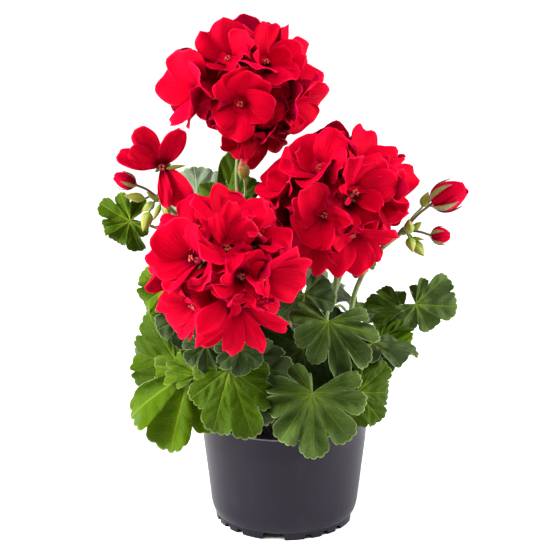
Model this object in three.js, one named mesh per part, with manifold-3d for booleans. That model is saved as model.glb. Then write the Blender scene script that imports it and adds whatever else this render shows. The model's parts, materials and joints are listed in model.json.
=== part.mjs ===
// An interspecific geranium in flower, growing in a 12 cm plastic nursery pot.
// Millimetres, +Z up. The origin is the centre of the pot's underside, on the surface that it stands on.
// The plant's show side faces -Y, and +X is to the right of someone who looks at that side.
import * as THREE from "three";
import { mergeVertices } from "three/addons/utils/BufferGeometryUtils.js";
import Module from "manifold-3d";

const wasm = await Module();
wasm.setup();

// Pot: a tapered wall with an upright band at the rim, on a ring of feet with drain gaps between them
const POT_RIM_RADIUS = 60;
const POT_HEIGHT = 81;
const POT_BAND_HEIGHT = 18;
const POT_BASE_RADIUS = 54;
const POT_CORNER_HEIGHT = 12;
const POT_WALL = 1.5;
const POT_FOOT_HEIGHT = 5.5;
const POT_SIDES = 32;
const PAD_RADIUS = 18;

// Soil
const SOIL_TOP = 71;
const SOIL_SIDE_GAP = 0.35;

// Plant
const TOUCH_GAP = 0.3;
const STEM_RADIUS = 3.6;
const PETIOLE_RADIUS = 1.3;
const LEAF_THICKNESS = 0.9;

// Flower heads
const HEAD_CORE_RADIUS = 34;
const FLORET_RADIUS = 39;
const PETAL_THICKNESS = 0.8;
const PETAL_RISE = 66;
const PETAL_ROOT = 2.4;
const PETAL_BASE = -9;

const vec = (p) => new THREE.Vector3(...p);
const degrees = THREE.MathUtils.degToRad;
// The same repeatable draw between 0 and 1 for each seed
const draw = (seed) => {
  const wave = Math.sin(seed * 127.1 + 311.7) * 43758.5453;
  return wave - Math.floor(wave);
};

const material = (name, color, roughness) =>
  new THREE.MeshStandardMaterial({ name, color, roughness, metalness: 0 });
const POT_PLASTIC = material("pot_plastic", 0x35343a, 0.5);
const SOIL = material("soil", 0x2a1d14, 0.95);
const STEM_GREEN = material("stem_green", 0x6f8a3c, 0.6);
const LEAF_GREEN = material("leaf_green", 0x47692a, 0.55);
const PETAL_RED = material("petal_red", 0xd90022, 0.5);
const BUD_GREEN = material("bud_green", 0x8da04a, 0.55);

// Solids in and out of three.js geometry
function solidOf(geometry) {
  const bare = geometry.clone();
  bare.deleteAttribute("normal");
  bare.deleteAttribute("uv");
  const merged = mergeVertices(bare, 1e-4);
  return new wasm.Manifold(
    new wasm.Mesh({
      numProp: 3,
      vertProperties: new Float32Array(merged.attributes.position.array),
      triVerts: new Uint32Array(merged.index.array),
    }),
  );
}

function meshOf(name, solid, look) {
  const found = solid.getMesh();
  const geometry = new THREE.BufferGeometry();
  const points = new Float32Array(found.numVert * 3);
  for (let i = 0; i < found.numVert; i++) {
    const start = i * found.numProp;
    points.set(found.vertProperties.subarray(start, start + 3), i * 3);
  }
  geometry.setAttribute("position", new THREE.BufferAttribute(points, 3));
  geometry.setIndex(new THREE.BufferAttribute(new Uint32Array(found.triVerts), 1));
  geometry.computeVertexNormals();
  const mesh = new THREE.Mesh(geometry, look);
  mesh.name = name;
  return mesh;
}

// The largest body of a solid, so that a scrap left by a cut is dropped
function mainBody(solid) {
  const bodies = solid.decompose();
  return bodies.reduce((best, body) => (body.volume() > best.volume() ? body : best));
}

const joined = (solids) => solids.reduce((sum, next) => sum.add(next));

// A round stalk of one radius along a smooth curve through the given points
function stalk(points, radius, sides = 6, steps = 4) {
  const outline = new THREE.Shape();
  for (let i = 0; i < sides; i++) {
    const angle = (i / sides) * 2 * Math.PI;
    const corner = [radius * Math.cos(angle), radius * Math.sin(angle)];
    if (i === 0) outline.moveTo(...corner);
    else outline.lineTo(...corner);
  }
  outline.closePath();
  const extrudePath = new THREE.CatmullRomCurve3(points.map(vec));
  return solidOf(new THREE.ExtrudeGeometry(outline, { steps, extrudePath }));
}

// A thin blade: a mid surface of points and triangles, thickened along its own normals.
// border lists the outer points in order, with the face on their left.
function blade(points, faces, border, thickness) {
  const normals = points.map(() => new THREE.Vector3());
  for (const [a, b, c] of faces) {
    const edge = points[b].clone().sub(points[a]);
    const face = edge.cross(points[c].clone().sub(points[a])).normalize();
    for (const corner of [a, b, c]) normals[corner].add(face);
  }
  const count = points.length;
  const positions = [];
  for (const side of [0.5, -0.5]) {
    points.forEach((point, i) => {
      const away = normals[i].clone().normalize().multiplyScalar(side * thickness);
      positions.push(...point.clone().add(away).toArray());
    });
  }
  const index = [];
  for (const [a, b, c] of faces) index.push(a, b, c, a + count, c + count, b + count);
  border.forEach((from, i) => {
    const to = border[(i + 1) % border.length];
    index.push(from, from + count, to + count, from, to + count, to);
  });
  const geometry = new THREE.BufferGeometry();
  geometry.setAttribute("position", new THREE.Float32BufferAttribute(positions, 3));
  geometry.setIndex(index);
  return solidOf(geometry);
}

// Pot
function potWallRadius(height) {
  const taperTop = POT_HEIGHT - POT_BAND_HEIGHT;
  const above = Math.max(0, height - POT_CORNER_HEIGHT);
  const share = Math.min(1, above / (taperTop - POT_CORNER_HEIGHT));
  return POT_BASE_RADIUS + (POT_RIM_RADIUS - 0.4 - POT_BASE_RADIUS) * share;
}

// One cut between two feet, wider at the ground: angles in degrees from the front, towards the right
function footCut(fromAngle, toAngle, height) {
  const radius = 50;
  const middle = degrees((fromAngle + toAngle) / 2);
  const half = (radius * degrees(toAngle - fromAngle)) / 2;
  const outline = new THREE.Shape();
  outline.moveTo(-half - 1.4, -1);
  outline.lineTo(half + 1.4, -1);
  outline.lineTo(half, height);
  outline.lineTo(-half, height);
  outline.closePath();
  const reach = 12;
  const geometry = new THREE.ExtrudeGeometry(outline, { depth: reach, bevelEnabled: false });
  geometry.rotateX(Math.PI / 2);
  geometry.translate(0, -radius + reach - 4.5, 0);
  geometry.rotateZ(middle);
  return solidOf(geometry);
}

function pot() {
  const taperTop = POT_HEIGHT - POT_BAND_HEIGHT;
  const inner = (height) => potWallRadius(height) - POT_WALL;
  const profile = [
    [0, 0], [PAD_RADIUS, 0], [PAD_RADIUS + 2, 3.2], [45.3, 3.2], [46.2, 0], [50.6, 0],
    [51.4, POT_FOOT_HEIGHT], [POT_BASE_RADIUS, POT_CORNER_HEIGHT], [potWallRadius(taperTop), taperTop],
    [POT_RIM_RADIUS, taperTop + 2], [POT_RIM_RADIUS, POT_HEIGHT],
    [POT_RIM_RADIUS - POT_WALL, POT_HEIGHT], [inner(taperTop), taperTop],
    [inner(POT_CORNER_HEIGHT), POT_CORNER_HEIGHT + 0.5], [48.8, POT_FOOT_HEIGHT], [0, POT_FOOT_HEIGHT],
  ];
  const lathe = new THREE.LatheGeometry(profile.map((p) => new THREE.Vector2(...p)), POT_SIDES);
  lathe.rotateX(Math.PI / 2);
  let solid = solidOf(lathe);
  for (let quarter = 0; quarter < 360; quarter += 90) {
    solid = solid.subtract(footCut(quarter - 17.5, quarter - 1, POT_FOOT_HEIGHT + 0.05));
    for (const notch of [18, 33.5, 48.5]) {
      solid = solid.subtract(footCut(quarter + notch, quarter + notch + 3.5, 2.8));
    }
  }
  return solid;
}

// Soil: a plug that fills the pot, with a loose, uneven top and a plain hole for each stem
function soil(stemHoles) {
  const edge = (height) => potWallRadius(height) - POT_WALL - SOIL_SIDE_GAP;
  const bottom = POT_FOOT_HEIGHT + TOUCH_GAP;
  const profile = [
    [0, bottom], [48.2, bottom], [edge(POT_CORNER_HEIGHT) - 0.1, POT_CORNER_HEIGHT + 0.6],
    [edge(SOIL_TOP - 2), POT_HEIGHT - POT_BAND_HEIGHT],
    [edge(SOIL_TOP - 2), SOIL_TOP - 2], [46, SOIL_TOP], [24, SOIL_TOP + 1], [0, SOIL_TOP + 2],
  ];
  const lathe = new THREE.LatheGeometry(profile.map((p) => new THREE.Vector2(...p)), POT_SIDES);
  lathe.rotateX(Math.PI / 2);
  const place = lathe.getAttribute("position");
  for (let i = 0; i < place.count; i++) {
    const [x, y, z] = [place.getX(i), place.getY(i), place.getZ(i)];
    const lumps = 1.1 * Math.sin(x * 0.31 + 1) * Math.cos(y * 0.27) + 0.7 * Math.sin(x * 0.7 - y * 0.6);
    if (z > SOIL_TOP - 1) place.setZ(i, z + lumps);
  }
  return solidOf(lathe).subtract(stemHoles);
}

// Stems: four basal shoots, each in its own hole in the soil
const STEM_LINES = {
  left: [[-10, 7, 54], [-10, 7, 74], [-15, 9, 102], [-27, 12, 142], [-33, 17, 176], [-31, 20, 206]],
  front: [[-6, -9, 54], [-6, -9, 74], [-10, -13, 98], [-20, -20, 124], [-26, -30, 146]],
  right: [[9, 1, 54], [9, 1, 74], [15, 2, 104], [27, 0, 138], [35, 0, 170]],
  back: [[3, 18, 54], [3, 18, 74], [3, 23, 104], [2, 28, 138], [0, 30, 160]],
};
const stemCurve = (stem) => new THREE.CatmullRomCurve3(STEM_LINES[stem].map(vec));
const stemTube = (stem, extra) => stalk(STEM_LINES[stem], STEM_RADIUS + extra, 7, 8);

// The point on a stem at a height
function stemAt(stem, height) {
  const off = (point) => Math.abs(point.z - height);
  const points = stemCurve(stem).getPoints(80);
  return points.reduce((best, point) => (off(point) < off(best) ? point : best)).toArray();
}

// Leaves, by the stem that they grow on.
// Each is [junction, facing, tip direction, radius, lobes, seat height, shape]:
// junction is where the petiole meets the blade, facing is the way that the upper side looks,
// seat height is where the petiole starts on the stem,
// and shape is [lobe depth, cup, ripple, wave, fold, droop, breadth, half angle of the open sinus].
const LEAVES = {
  left: [
    [[-67, -36, 125], [-0.12, -0.9, 0.42], [-0.28, -0.34, -0.9], 61, 3, 108,
      [0.24, -0.03, 0.05, 0.04, 0.03, 0.0, 0.92, 2.15]],
    [[-86, -12, 127], [-0.3, -0.9, 0.25], [-0.85, 0.3, 0.3], 33, 7, 124,
      [0.12, -0.06, 0.05, 0.03, 0.04, 0.0, 1.0, 0.5]],
    [[-70, -22, 161], [-0.2, -0.9, 0.4], [-0.1, -0.35, -0.9], 22, 5, 140,
      [0.14, 0.0, 0.05, 0.05, 0.0, 0.1, 1.0, 0.6]],
    [[-53, 30, 224], [0.1, -0.95, 0.2], [0.28, 0.1, 0.95], 46, 7, 188,
      [0.06, 0.05, 0.02, 0.03, 0.2, 0.0, 0.55, 0.8]],
    [[-68, 40, 222], [0.3, 0.85, -0.2], [-0.15, 0.2, 0.97], 30, 5, 182,
      [0.06, 0.05, 0.02, 0.03, 0.1, 0.0, 0.75, 0.8]],
    [[-107, 4, 224], [-0.2, -0.95, 0.2], [-0.87, 0.0, -0.17], 28, 7, 180,
      [0.32, 0.03, 0.06, 0.04, 0.05, 0.0, 1.0, 0.4]],
    [[-85, -10, 177], [-0.3, -0.85, 0.35], [-0.8, -0.1, -0.35], 23, 5, 158,
      [0.16, 0.05, 0.06, 0.06, 0.1, 0.0, 1.0, 0.5]],
    [[-29, 36, 238], [0.2, -0.8, 0.5], [0.6, 0.1, 0.3], 11, 5, 196,
      [0.18, 0.05, 0.06, 0.04, 0.2, 0.0, 1.0, 0.5]],
    [[-66, 40, 112], [-0.7, 0.5, 0.45], [-0.5, 0.4, -0.8], 40, 7, 112,
      [0.14, -0.04, 0.05, 0.05, 0.03, 0.05, 1.0, 0.5]],
    [[-80, 26, 162], [-0.75, 0.3, 0.65], [-0.75, 0.5, -0.35], 32, 5, 148,
      [0.15, -0.04, 0.05, 0.05, 0.03, 0.05, 1.0, 0.5]],
    [[-46, 52, 192], [-0.4, 0.6, 0.7], [-0.4, 0.8, -0.4], 33, 5, 166,
      [0.14, -0.04, 0.05, 0.05, 0.03, 0.05, 1.0, 0.5]],
  ],
  front: [
    [[-39, -68, 137], [-0.05, -0.93, 0.36], [0.1, -0.38, -0.92], 52, 7, 118,
      [0.1, -0.06, 0.03, 0.04, -0.3, 0.05, 0.68, 1.1]],
    [[-28, -51, 132], [0.15, -0.85, 0.5], [0.5, -0.4, -0.78], 46, 7, 108,
      [0.12, 0.03, 0.04, 0.03, 0.03, 0.05, 0.9, 1.3]],
    [[-61, -54, 137], [-0.2, -0.5, 0.85], [-0.98, -0.1, 0.0], 27, 5, 112,
      [0.14, 0.03, 0.05, 0.05, 0.05, 0.1, 0.85, 1.0]],
    [[-54, -62, 153], [-0.1, -0.85, 0.5], [0.0, -0.5, -0.85], 21, 5, 136,
      [0.14, -0.05, 0.05, 0.04, 0.0, 0.1, 1.0, 0.9]],
    [[-31, -70, 154], [0.05, -0.85, 0.5], [0.05, -0.5, -0.85], 21, 5, 141,
      [0.14, -0.05, 0.05, 0.04, 0.0, 0.1, 1.0, 0.9]],
  ],
  right: [
    [[19, -70, 121], [0.05, -0.93, 0.35], [0.06, -0.3, -0.95], 46, 7, 112,
      [0.16, 0.04, 0.05, 0.03, 0.0, 0.0, 0.9, 0.4]],
    [[30, -58, 169], [0.08, -0.88, 0.46], [0.05, -0.45, -0.9], 39, 7, 154,
      [0.17, 0.02, 0.05, 0.05, 0.0, 0.05, 0.95, 1.0]],
    [[14, -18, 176], [0.15, -0.85, 0.5], [0.25, -0.5, -0.8], 24, 5, 163,
      [0.14, -0.05, 0.05, 0.05, 0.0, 0.0, 1.0, 0.5]],
    [[14, -24, 138], [0.1, -0.95, 0.3], [0.1, -0.3, -0.95], 34, 5, 100,
      [0.14, 0.0, 0.05, 0.05, 0.0, 0.0, 1.0, 0.5]],
    [[67, -8, 141], [-0.05, -0.85, 0.5], [0.8, 0.2, 0.55], 26, 5, 140,
      [0.14, 0.05, 0.05, 0.04, 0.1, 0.0, 0.9, 1.0]],
    [[62, -40, 146], [0.1, -0.55, 0.82], [0.95, -0.1, 0.0], 32, 5, 132,
      [0.14, 0.05, 0.05, 0.06, 0.1, 0.05, 0.85, 1.0]],
    [[93, -8, 165], [0.1, -0.9, 0.38], [0.95, 0.1, -0.12], 32, 5, 150,
      [0.12, 0.1, 0.06, 0.06, 0.1, 0.0, 0.68, 0.7]],
    [[77, 0, 158], [-0.1, -0.75, 0.6], [-0.85, 0.1, 0.4], 24, 5, 144,
      [0.14, 0.08, 0.06, 0.04, 0.05, 0.0, 0.85, 0.8]],
    [[58, -39, 102], [0.6, -0.78, 0.1], [0.3, 0.15, 0.95], 36, 7, 106,
      [0.12, -0.06, 0.05, 0.05, 0.03, 0.0, 0.85, 0.5]],
    [[50, 24, 190], [0.1, -0.7, 0.7], [0.5, 0.3, 0.5], 18, 5, 166,
      [0.14, 0.05, 0.05, 0.05, 0.05, 0.0, 1.0, 0.5]],
    [[60, 24, 122], [0.85, 0.15, 0.45], [0.45, 0.0, -0.88], 38, 7, 116,
      [0.14, -0.04, 0.05, 0.05, 0.03, 0.05, 1.0, 0.5]],
    [[52, 38, 152], [0.5, 0.5, 0.7], [0.5, 0.75, -0.4], 29, 5, 156,
      [0.14, -0.04, 0.05, 0.05, 0.03, 0.05, 1.0, 0.5]],
  ],
  back: [
    [[20, 70, 114], [0.15, 0.88, 0.45], [0.1, 0.5, -0.85], 42, 7, 118,
      [0.14, -0.04, 0.05, 0.05, 0.03, 0.05, 1.0, 0.5]],
    [[-26, 64, 134], [-0.15, 0.8, 0.55], [-0.1, 0.7, -0.75], 40, 7, 110,
      [0.14, -0.04, 0.05, 0.05, 0.03, 0.05, 1.0, 0.5]],
    [[4, 56, 172], [0.0, 0.6, 0.8], [0.0, 0.85, -0.5], 36, 7, 154,
      [0.14, -0.04, 0.05, 0.05, 0.03, 0.05, 1.0, 0.5]],
  ],
};

// A point of a blade, at a share of its radius and an angle from the tip direction
function leafPoint(share, angle, frame, radius, lobes, shape, seed) {
  const [depth, cup, ripple, wave, fold, droop, breadth, sinus] = shape;
  const open = Math.PI - sinus;
  const lobePlace = ((angle + open) / (2 * open)) * lobes;
  const lobe = Math.abs(Math.sin(Math.PI * lobePlace));
  const tooth = Math.abs(Math.sin(2 * Math.PI * lobePlace));
  const outline = 0.92 + 0.08 * Math.cos(angle);
  const cut = 1 - depth * (1 - Math.sqrt(lobe)) - 0.05 * (1 - tooth);
  const reach = radius * share * outline * (1 + (cut - 1) * share);
  const along = reach * Math.cos(angle);
  const across = breadth * reach * Math.sin(angle);
  const pleat = ripple * share * share * Math.cos(2 * Math.PI * lobePlace);
  const sway = wave * share * share * Math.sin(3 * angle + 6.283 * draw(seed));
  const rise =
    radius * (cup * share * share + pleat + sway) + fold * Math.abs(across) -
    (droop * Math.max(0, along) ** 2) / radius;
  return frame.origin.clone()
    .addScaledVector(frame.tip, along)
    .addScaledVector(frame.side, across)
    .addScaledVector(frame.facing, rise);
}

function leafFrame(junction, facing, tip) {
  const frame = { origin: vec(junction), facing: vec(facing).normalize(), tip: vec(tip) };
  frame.tip.addScaledVector(frame.facing, -frame.tip.dot(frame.facing)).normalize();
  frame.side = frame.facing.clone().cross(frame.tip);
  return frame;
}

// The blade is a fan of rays from the junction: one point a lobe half way out, and three a lobe at the edge
function leafBlade(frame, radius, lobes, shape, seed) {
  const open = Math.PI - shape[7];
  const points = [frame.origin.clone()];
  const angleAt = (i, count) => -open + (2 * open * i) / count;
  for (let i = 0; i <= lobes; i++) {
    points.push(leafPoint(0.55, angleAt(i, lobes), frame, radius, lobes, shape, seed));
  }
  for (let i = 0; i <= 3 * lobes; i++) {
    points.push(leafPoint(1, angleAt(i, 3 * lobes), frame, radius, lobes, shape, seed));
  }
  const faces = [];
  const rim = 2 + lobes;
  for (let i = 0; i < lobes; i++) {
    const [a, b, edge] = [1 + i, 2 + i, rim + 3 * i];
    faces.push([0, a, b], [a, edge, edge + 1], [a, edge + 1, b]);
    faces.push([b, edge + 1, edge + 2], [b, edge + 2, edge + 3]);
  }
  const border = [0, 1];
  for (let i = 0; i <= 3 * lobes; i++) border.push(rim + i);
  border.push(1 + lobes);
  return blade(points, faces, border, LEAF_THICKNESS);
}

function leaf([junction, facing, tip, radius, lobes, seatHeight, shape], stem, seed) {
  const frame = leafFrame(junction, facing, tip);
  const seat = vec(stemAt(stem, seatHeight));
  const under = frame.origin.clone().addScaledVector(frame.facing, -9);
  const middle = seat.clone().lerp(under, 0.55);
  middle.z += 5;
  const end = frame.origin.clone().addScaledVector(frame.facing, -0.1);
  const line = [seat, middle, under, end].map((p) => p.toArray());
  return leafBlade(frame, radius, lobes, shape, seed).add(stalk(line, PETIOLE_RADIUS, 4, 3));
}

// Petals. A petal leaves its floret's axis at the angle rise, in degrees above the floret's plane,
// and bends evenly to the angle end at its tip. Its width grows from a narrow claw to a round end.
function petalWidth(along) {
  const widest = 0.64;
  const claw = 0.14;
  if (along < widest) return claw + (1 - claw) * Math.sin((Math.PI / 2) * (along / widest)) ** 1.2;
  return Math.sqrt(Math.max(0, 1 - ((along - widest) / (1 - widest)) ** 2.2));
}

function petalCentre(along, petal) {
  const start = degrees(petal.rise);
  const bend = degrees(petal.end - petal.rise);
  const angle = start + bend * along;
  const out = petal.root + (petal.length * (Math.sin(angle) - Math.sin(start))) / bend;
  const up = petal.base + (petal.length * (Math.cos(start) - Math.cos(angle))) / bend;
  return { out, up, angle };
}

function petalPoint(along, across, petal, floret) {
  const { out, up, angle } = petalCentre(along, petal);
  const half = 0.5 * petal.width * petalWidth(along);
  const ray = floret.right.clone().multiplyScalar(Math.cos(petal.turn))
    .addScaledVector(floret.top, Math.sin(petal.turn));
  const side = floret.facing.clone().cross(ray);
  const normal = floret.facing.clone().multiplyScalar(Math.cos(angle)).addScaledVector(ray, -Math.sin(angle));
  const lift = petal.cup * across * across * half + petal.tilt * across * half +
    petal.wave * along * along * Math.sin(3 * across + petal.phase);
  return floret.origin.clone()
    .addScaledVector(ray, out)
    .addScaledVector(floret.facing, up)
    .addScaledVector(side, half * across)
    .addScaledVector(normal, lift);
}

function petalBlade(petal, floret, settle) {
  const places = [[0, 0], [0.52, 1], [0.97, 1], [0.97, -1], [0.52, -1]];
  const points = places.map(([along, across]) => settle(petalPoint(along, across, petal, floret)));
  const faces = [[0, 1, 4], [4, 1, 2], [4, 2, 3]];
  return blade(points, faces, [0, 1, 2, 3, 4], PETAL_THICKNESS);
}

// A floret faces azimuth (0 to the front, 90 to the right) and elevation, in degrees
function floretFrame(centre, azimuth, elevation, spin, reach) {
  const [a, e] = [degrees(azimuth), degrees(elevation)];
  const facing = new THREE.Vector3(Math.sin(a) * Math.cos(e), -Math.cos(a) * Math.cos(e), Math.sin(e));
  const right = new THREE.Vector3(Math.cos(a), Math.sin(a), 0);
  const top = facing.clone().cross(right);
  const turned = right.clone().applyAxisAngle(facing, degrees(spin));
  const lifted = top.clone().applyAxisAngle(facing, degrees(spin));
  const origin = vec(centre).addScaledVector(facing, reach);
  return { facing, right: turned, top: lifted, origin };
}

// The petals of one floret: an even whorl, each a little different,
// and small inner petals if there are more than five
function floretPetals(count, length, width, end, seed) {
  const petals = [];
  for (let i = 0; i < count; i++) {
    const inner = i >= 5;
    const whorl = inner ? count - 5 : Math.min(5, count);
    const own = seed * 17 + i * 3;
    petals.push({
      turn: (2 * Math.PI * (i + (inner ? 0.5 : 0))) / whorl + 0.3 * (draw(own) - 0.5),
      length: length * (inner ? 0.72 : 1) * (0.94 + 0.12 * draw(own + 1)),
      width: width * (inner ? 0.7 : 1) * (0.92 + 0.16 * draw(own + 2)),
      rise: PETAL_RISE - 4 + (inner ? 16 : 0) + 8 * draw(own + 4),
      end: end + (inner ? 30 : 0) + 16 * (draw(own + 5) - 0.5),
      root: PETAL_ROOT,
      base: PETAL_BASE,
      cup: -0.12 + 0.3 * (draw(own + 6) - 0.5),
      tilt: 0.34 + 0.08 * draw(own + 7),
      wave: 0.8,
      phase: 6.283 * draw(own + 8),
    });
  }
  return petals;
}

// Flower heads: each has a centre, and its florets as
// [azimuth, elevation, spin, petals, length, width, end angle]
const HEADS = {
  top: {
    centre: [-30, 28, 310],
    florets: [
      [0, 2, 90, 5, 31, 25, -8],
      [-64, 12, 20, 5, 34, 26, 32],
      [-26, 52, 100, 5, 30, 25, 26],
      [40, 42, 60, 5, 31, 26, 12],
      [64, -6, 15, 5, 35, 27, 24],
      [38, -46, 40, 5, 32, 19, 5],
      [-16, -38, 40, 5, 20, 17, 10],
      [125, 6, 0, 5, 32, 27, 0],
      [180, -8, 30, 5, 32, 27, 0],
      [-122, 8, 50, 5, 32, 27, 0],
      [170, 46, 0, 5, 32, 27, 5],
    ],
  },
  right: {
    centre: [35, -8, 242],
    florets: [
      [-10, 0, 80, 5, 32, 26, -5],
      [28, 24, 30, 5, 32, 26, 5],
      [24, -30, 12, 5, 33, 28, 0],
      [-24, 48, 70, 5, 32, 25, 20],
      [-66, 26, 10, 5, 34, 27, 25],
      [60, 56, 40, 5, 31, 25, 5],
      [76, 14, 0, 5, 37, 26, 45],
      [-36, -44, 30, 5, 29, 23, 0],
      [-84, -6, 0, 5, 30, 24, 5],
      [135, -10, 50, 5, 32, 27, 0],
      [-170, 4, 0, 5, 32, 27, 0],
      [170, 55, 0, 5, 32, 27, 5],
    ],
  },
  left: {
    centre: [-41, -64, 209],
    florets: [
      [-38, 20, 60, 5, 33, 27, 0],
      [4, 28, 100, 5, 30, 22, 8],
      [8, -34, 90, 7, 31, 15, -25],
      [50, 6, 0, 5, 32, 27, 0],
      [14, 72, 0, 5, 31, 25, 10],
      [64, 44, 30, 5, 28, 20, 20],
      [-60, 58, 0, 5, 31, 26, 5],
      [-46, -28, 20, 5, 31, 21, 0],
      [-92, 14, 0, 5, 31, 23, 0],
      [170, 4, 0, 5, 31, 26, 5],
      [-142, 2, 20, 5, 32, 26, 0],
      [150, 52, 0, 5, 31, 25, 5],
    ],
  },
};

// Where two heads meet, their petals bend back from the plane half way between them
const HEAD_CLEARANCE = 1.1;
const BEND_DEPTH = 12;
function bendClear(headName) {
  const centre = vec(HEADS[headName].centre);
  const planes = Object.entries(HEADS)
    .filter(([name]) => name !== headName)
    .map(([, other]) => {
      const towards = vec(other.centre).sub(centre);
      return { middle: centre.clone().addScaledVector(towards, 0.5), towards: towards.normalize() };
    });
  return (point) => {
    for (const { middle, towards } of planes) {
      const past = point.clone().sub(middle).dot(towards) + BEND_DEPTH;
      if (past <= 0) continue;
      const room = BEND_DEPTH - HEAD_CLEARANCE;
      point.addScaledVector(towards, room * (1 - Math.exp(-past / room)) - past);
    }
    return point;
  };
}

// How far from the head's centre the petals of a floret lie, by the angle from the floret's axis
function floretProfile(length, end) {
  const petal = { rise: PETAL_RISE, end, length, root: PETAL_ROOT, base: PETAL_BASE };
  return [0.3, 0.5, 0.7, 0.85, 1].map((along) => {
    const { out, up } = petalCentre(along, petal);
    return [Math.atan2(out, FLORET_RADIUS + up), Math.hypot(out, FLORET_RADIUS + up)];
  });
}

function profileAt(profile, angle) {
  if (angle <= profile[0][0]) return profile[0][1];
  for (let i = 1; i < profile.length; i++) {
    const [[a, low], [b, high]] = [profile[i - 1], profile[i]];
    if (angle <= b) return low + ((high - low) * (angle - a)) / (b - a);
  }
  const [last, reach] = profile[profile.length - 1];
  return reach + 60 * (angle - last);
}

// The florets of a head overlap like shingles: each goes under the ones that are listed before it
const SHINGLE_GAP = 1.6;
function underEarlier(point, centre, earlier) {
  const away = point.clone().sub(centre);
  const distance = away.length();
  let allowed = distance;
  for (const { facing, profile } of earlier) {
    const angle = away.angleTo(facing);
    allowed = Math.min(allowed, profileAt(profile, angle) - SHINGLE_GAP);
  }
  return centre.clone().addScaledVector(away, allowed / distance);
}

function headPetals(name) {
  const centre = vec(HEADS[name].centre);
  const clear = bendClear(name);
  const ball = new THREE.IcosahedronGeometry(HEAD_CORE_RADIUS, 1);
  ball.translate(...centre.toArray());
  const parts = [solidOf(ball)];
  const earlier = [];
  HEADS[name].florets.forEach(([azimuth, elevation, spin, count, length, width, end], k) => {
    const floret = floretFrame(centre.toArray(), azimuth, elevation, spin, FLORET_RADIUS);
    const seed = name.length * 50 + k;
    const above = [...earlier];
    const settle = (point) => clear(underEarlier(point, centre, above));
    for (const petal of floretPetals(count, length, width, end, seed)) {
      parts.push(petalBlade(petal, floret, settle));
    }
    earlier.push({ facing: floret.facing, profile: floretProfile(length, end) });
  });
  return joined(parts).simplify(0.1);
}

// Flower stalks, by the stem that they grow on: each ends in a plain hole in the underside of its head's core
const FLOWER_STALKS = {
  left: { head: "top", line: [[-31, 19, 198], [-32, 21, 222], [-34, 23, 252], [-31, 27, 284]] },
  right: { head: "right", line: [[34, 0, 162], [37, -3, 188], [35, -7, 215]] },
  front: { head: "left", line: [[-25, -27, 140], [-33, -44, 158], [-41, -62, 182]] },
};
const FLOWER_STALK_RADIUS = 1.8;

// A pointed bud from its base to its tip, as a turned shape
function bud(base, tip, radius, sides = 6) {
  const axis = vec(tip).sub(vec(base));
  const profile = [[0, 0], [0.55, 0.06], [1, 0.38], [0.8, 0.7], [0, 1]];
  const turned = new THREE.LatheGeometry(
    profile.map(([r, h]) => new THREE.Vector2(r * radius, h * axis.length())),
    sides,
  );
  const turn = new THREE.Quaternion().setFromUnitVectors(new THREE.Vector3(0, 1, 0), axis.normalize());
  turned.applyQuaternion(turn);
  turned.translate(...base);
  return solidOf(turned);
}

// A spray of buds: a stalk up to its hub, and a bowed pedicel from there to each bud.
// opening lists the red blooms of the spray, which stand just clear of a green cup.
const SPRAYS = {
  left: {
    line: [[-32, 17, 166], [-48, 10, 194], [-70, 0, 222], [-89, -6, 243]],
    buds: [
      [[-98, -12, 244], [-112, -18, 248], 3.4],
      [[-95, -14, 235], [-99, -22, 223], 4.2],
      [[-92, -4, 239], [-101, -2, 232], 3.2],
      [[-84, -14, 241], [-80, -18, 232], 2.6],
    ],
    opening: ["opening_bud_left", "young_flower_left"],
  },
  right: {
    line: [[21, 1, 120], [36, -7, 130], [45, -10, 150], [51, -7, 176], [64, -4, 200], [84, 0, 217]],
    buds: [
      [[91, -5, 211], [99, -10, 201], 4.2],
      [[86, -13, 219], [87, -18, 225], 3.2],
      [[98, 6, 233], [102, 8, 244], 3.6],
      [[86, -8, 213], [87, -14, 206], 3.4],
    ],
    opening: ["opening_bud_right_large", "opening_bud_right_small"],
  },
};

// Half-open buds, and the throat of the young flower, as [base, tip, radius]
const OPENING = {
  opening_bud_left: [[-105, -11, 254], [-119, -13, 261], 6.2],
  opening_bud_right_large: [[104, -2, 238], [128, -4, 250], 11],
  opening_bud_right_small: [[104, -5, 215], [117, -8, 216], 6.4],
  young_flower_left: [[-85, -13, 267], [-85, -22, 270], 3.6],
};
const CUP_LENGTH = 5;
const CUP_RADIUS = 3.2;
const CUP_GAP = 0.4;

// The green cup behind a red bloom: a short cone with a flat mouth
function cup([base, tip]) {
  const axis = vec(tip).sub(vec(base)).normalize();
  const profile = [[0, 0], [0.4 * CUP_RADIUS, 0], [CUP_RADIUS, CUP_LENGTH], [0, CUP_LENGTH]];
  const turned = new THREE.LatheGeometry(profile.map((p) => new THREE.Vector2(...p)), 6);
  turned.applyQuaternion(new THREE.Quaternion().setFromUnitVectors(new THREE.Vector3(0, 1, 0), axis));
  const start = vec(base).addScaledVector(axis, -CUP_LENGTH - CUP_GAP);
  turned.translate(...start.toArray());
  return { start, solid: solidOf(turned) };
}

function spray({ line, buds, opening }) {
  const hub = line[line.length - 1];
  const knob = new THREE.OctahedronGeometry(3.4);
  knob.translate(...hub);
  const parts = [stalk(line, 1.7, 5, 7), solidOf(knob)];
  const pedicel = (end) => {
    const middle = vec(hub).lerp(vec(end), 0.5);
    middle.z += 1.5;
    return stalk([hub, middle.toArray(), end], 0.9, 4, 2);
  };
  for (const [base, tip, radius] of buds) {
    parts.push(pedicel(vec(base).lerp(vec(tip), 0.2).toArray()), bud(base, tip, radius));
  }
  for (const name of opening) {
    const { start, solid } = cup(OPENING[name]);
    const inside = vec(OPENING[name][0]).lerp(start, 0.7);
    parts.push(pedicel(inside.toArray()), solid);
  }
  return joined(parts);
}

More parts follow.
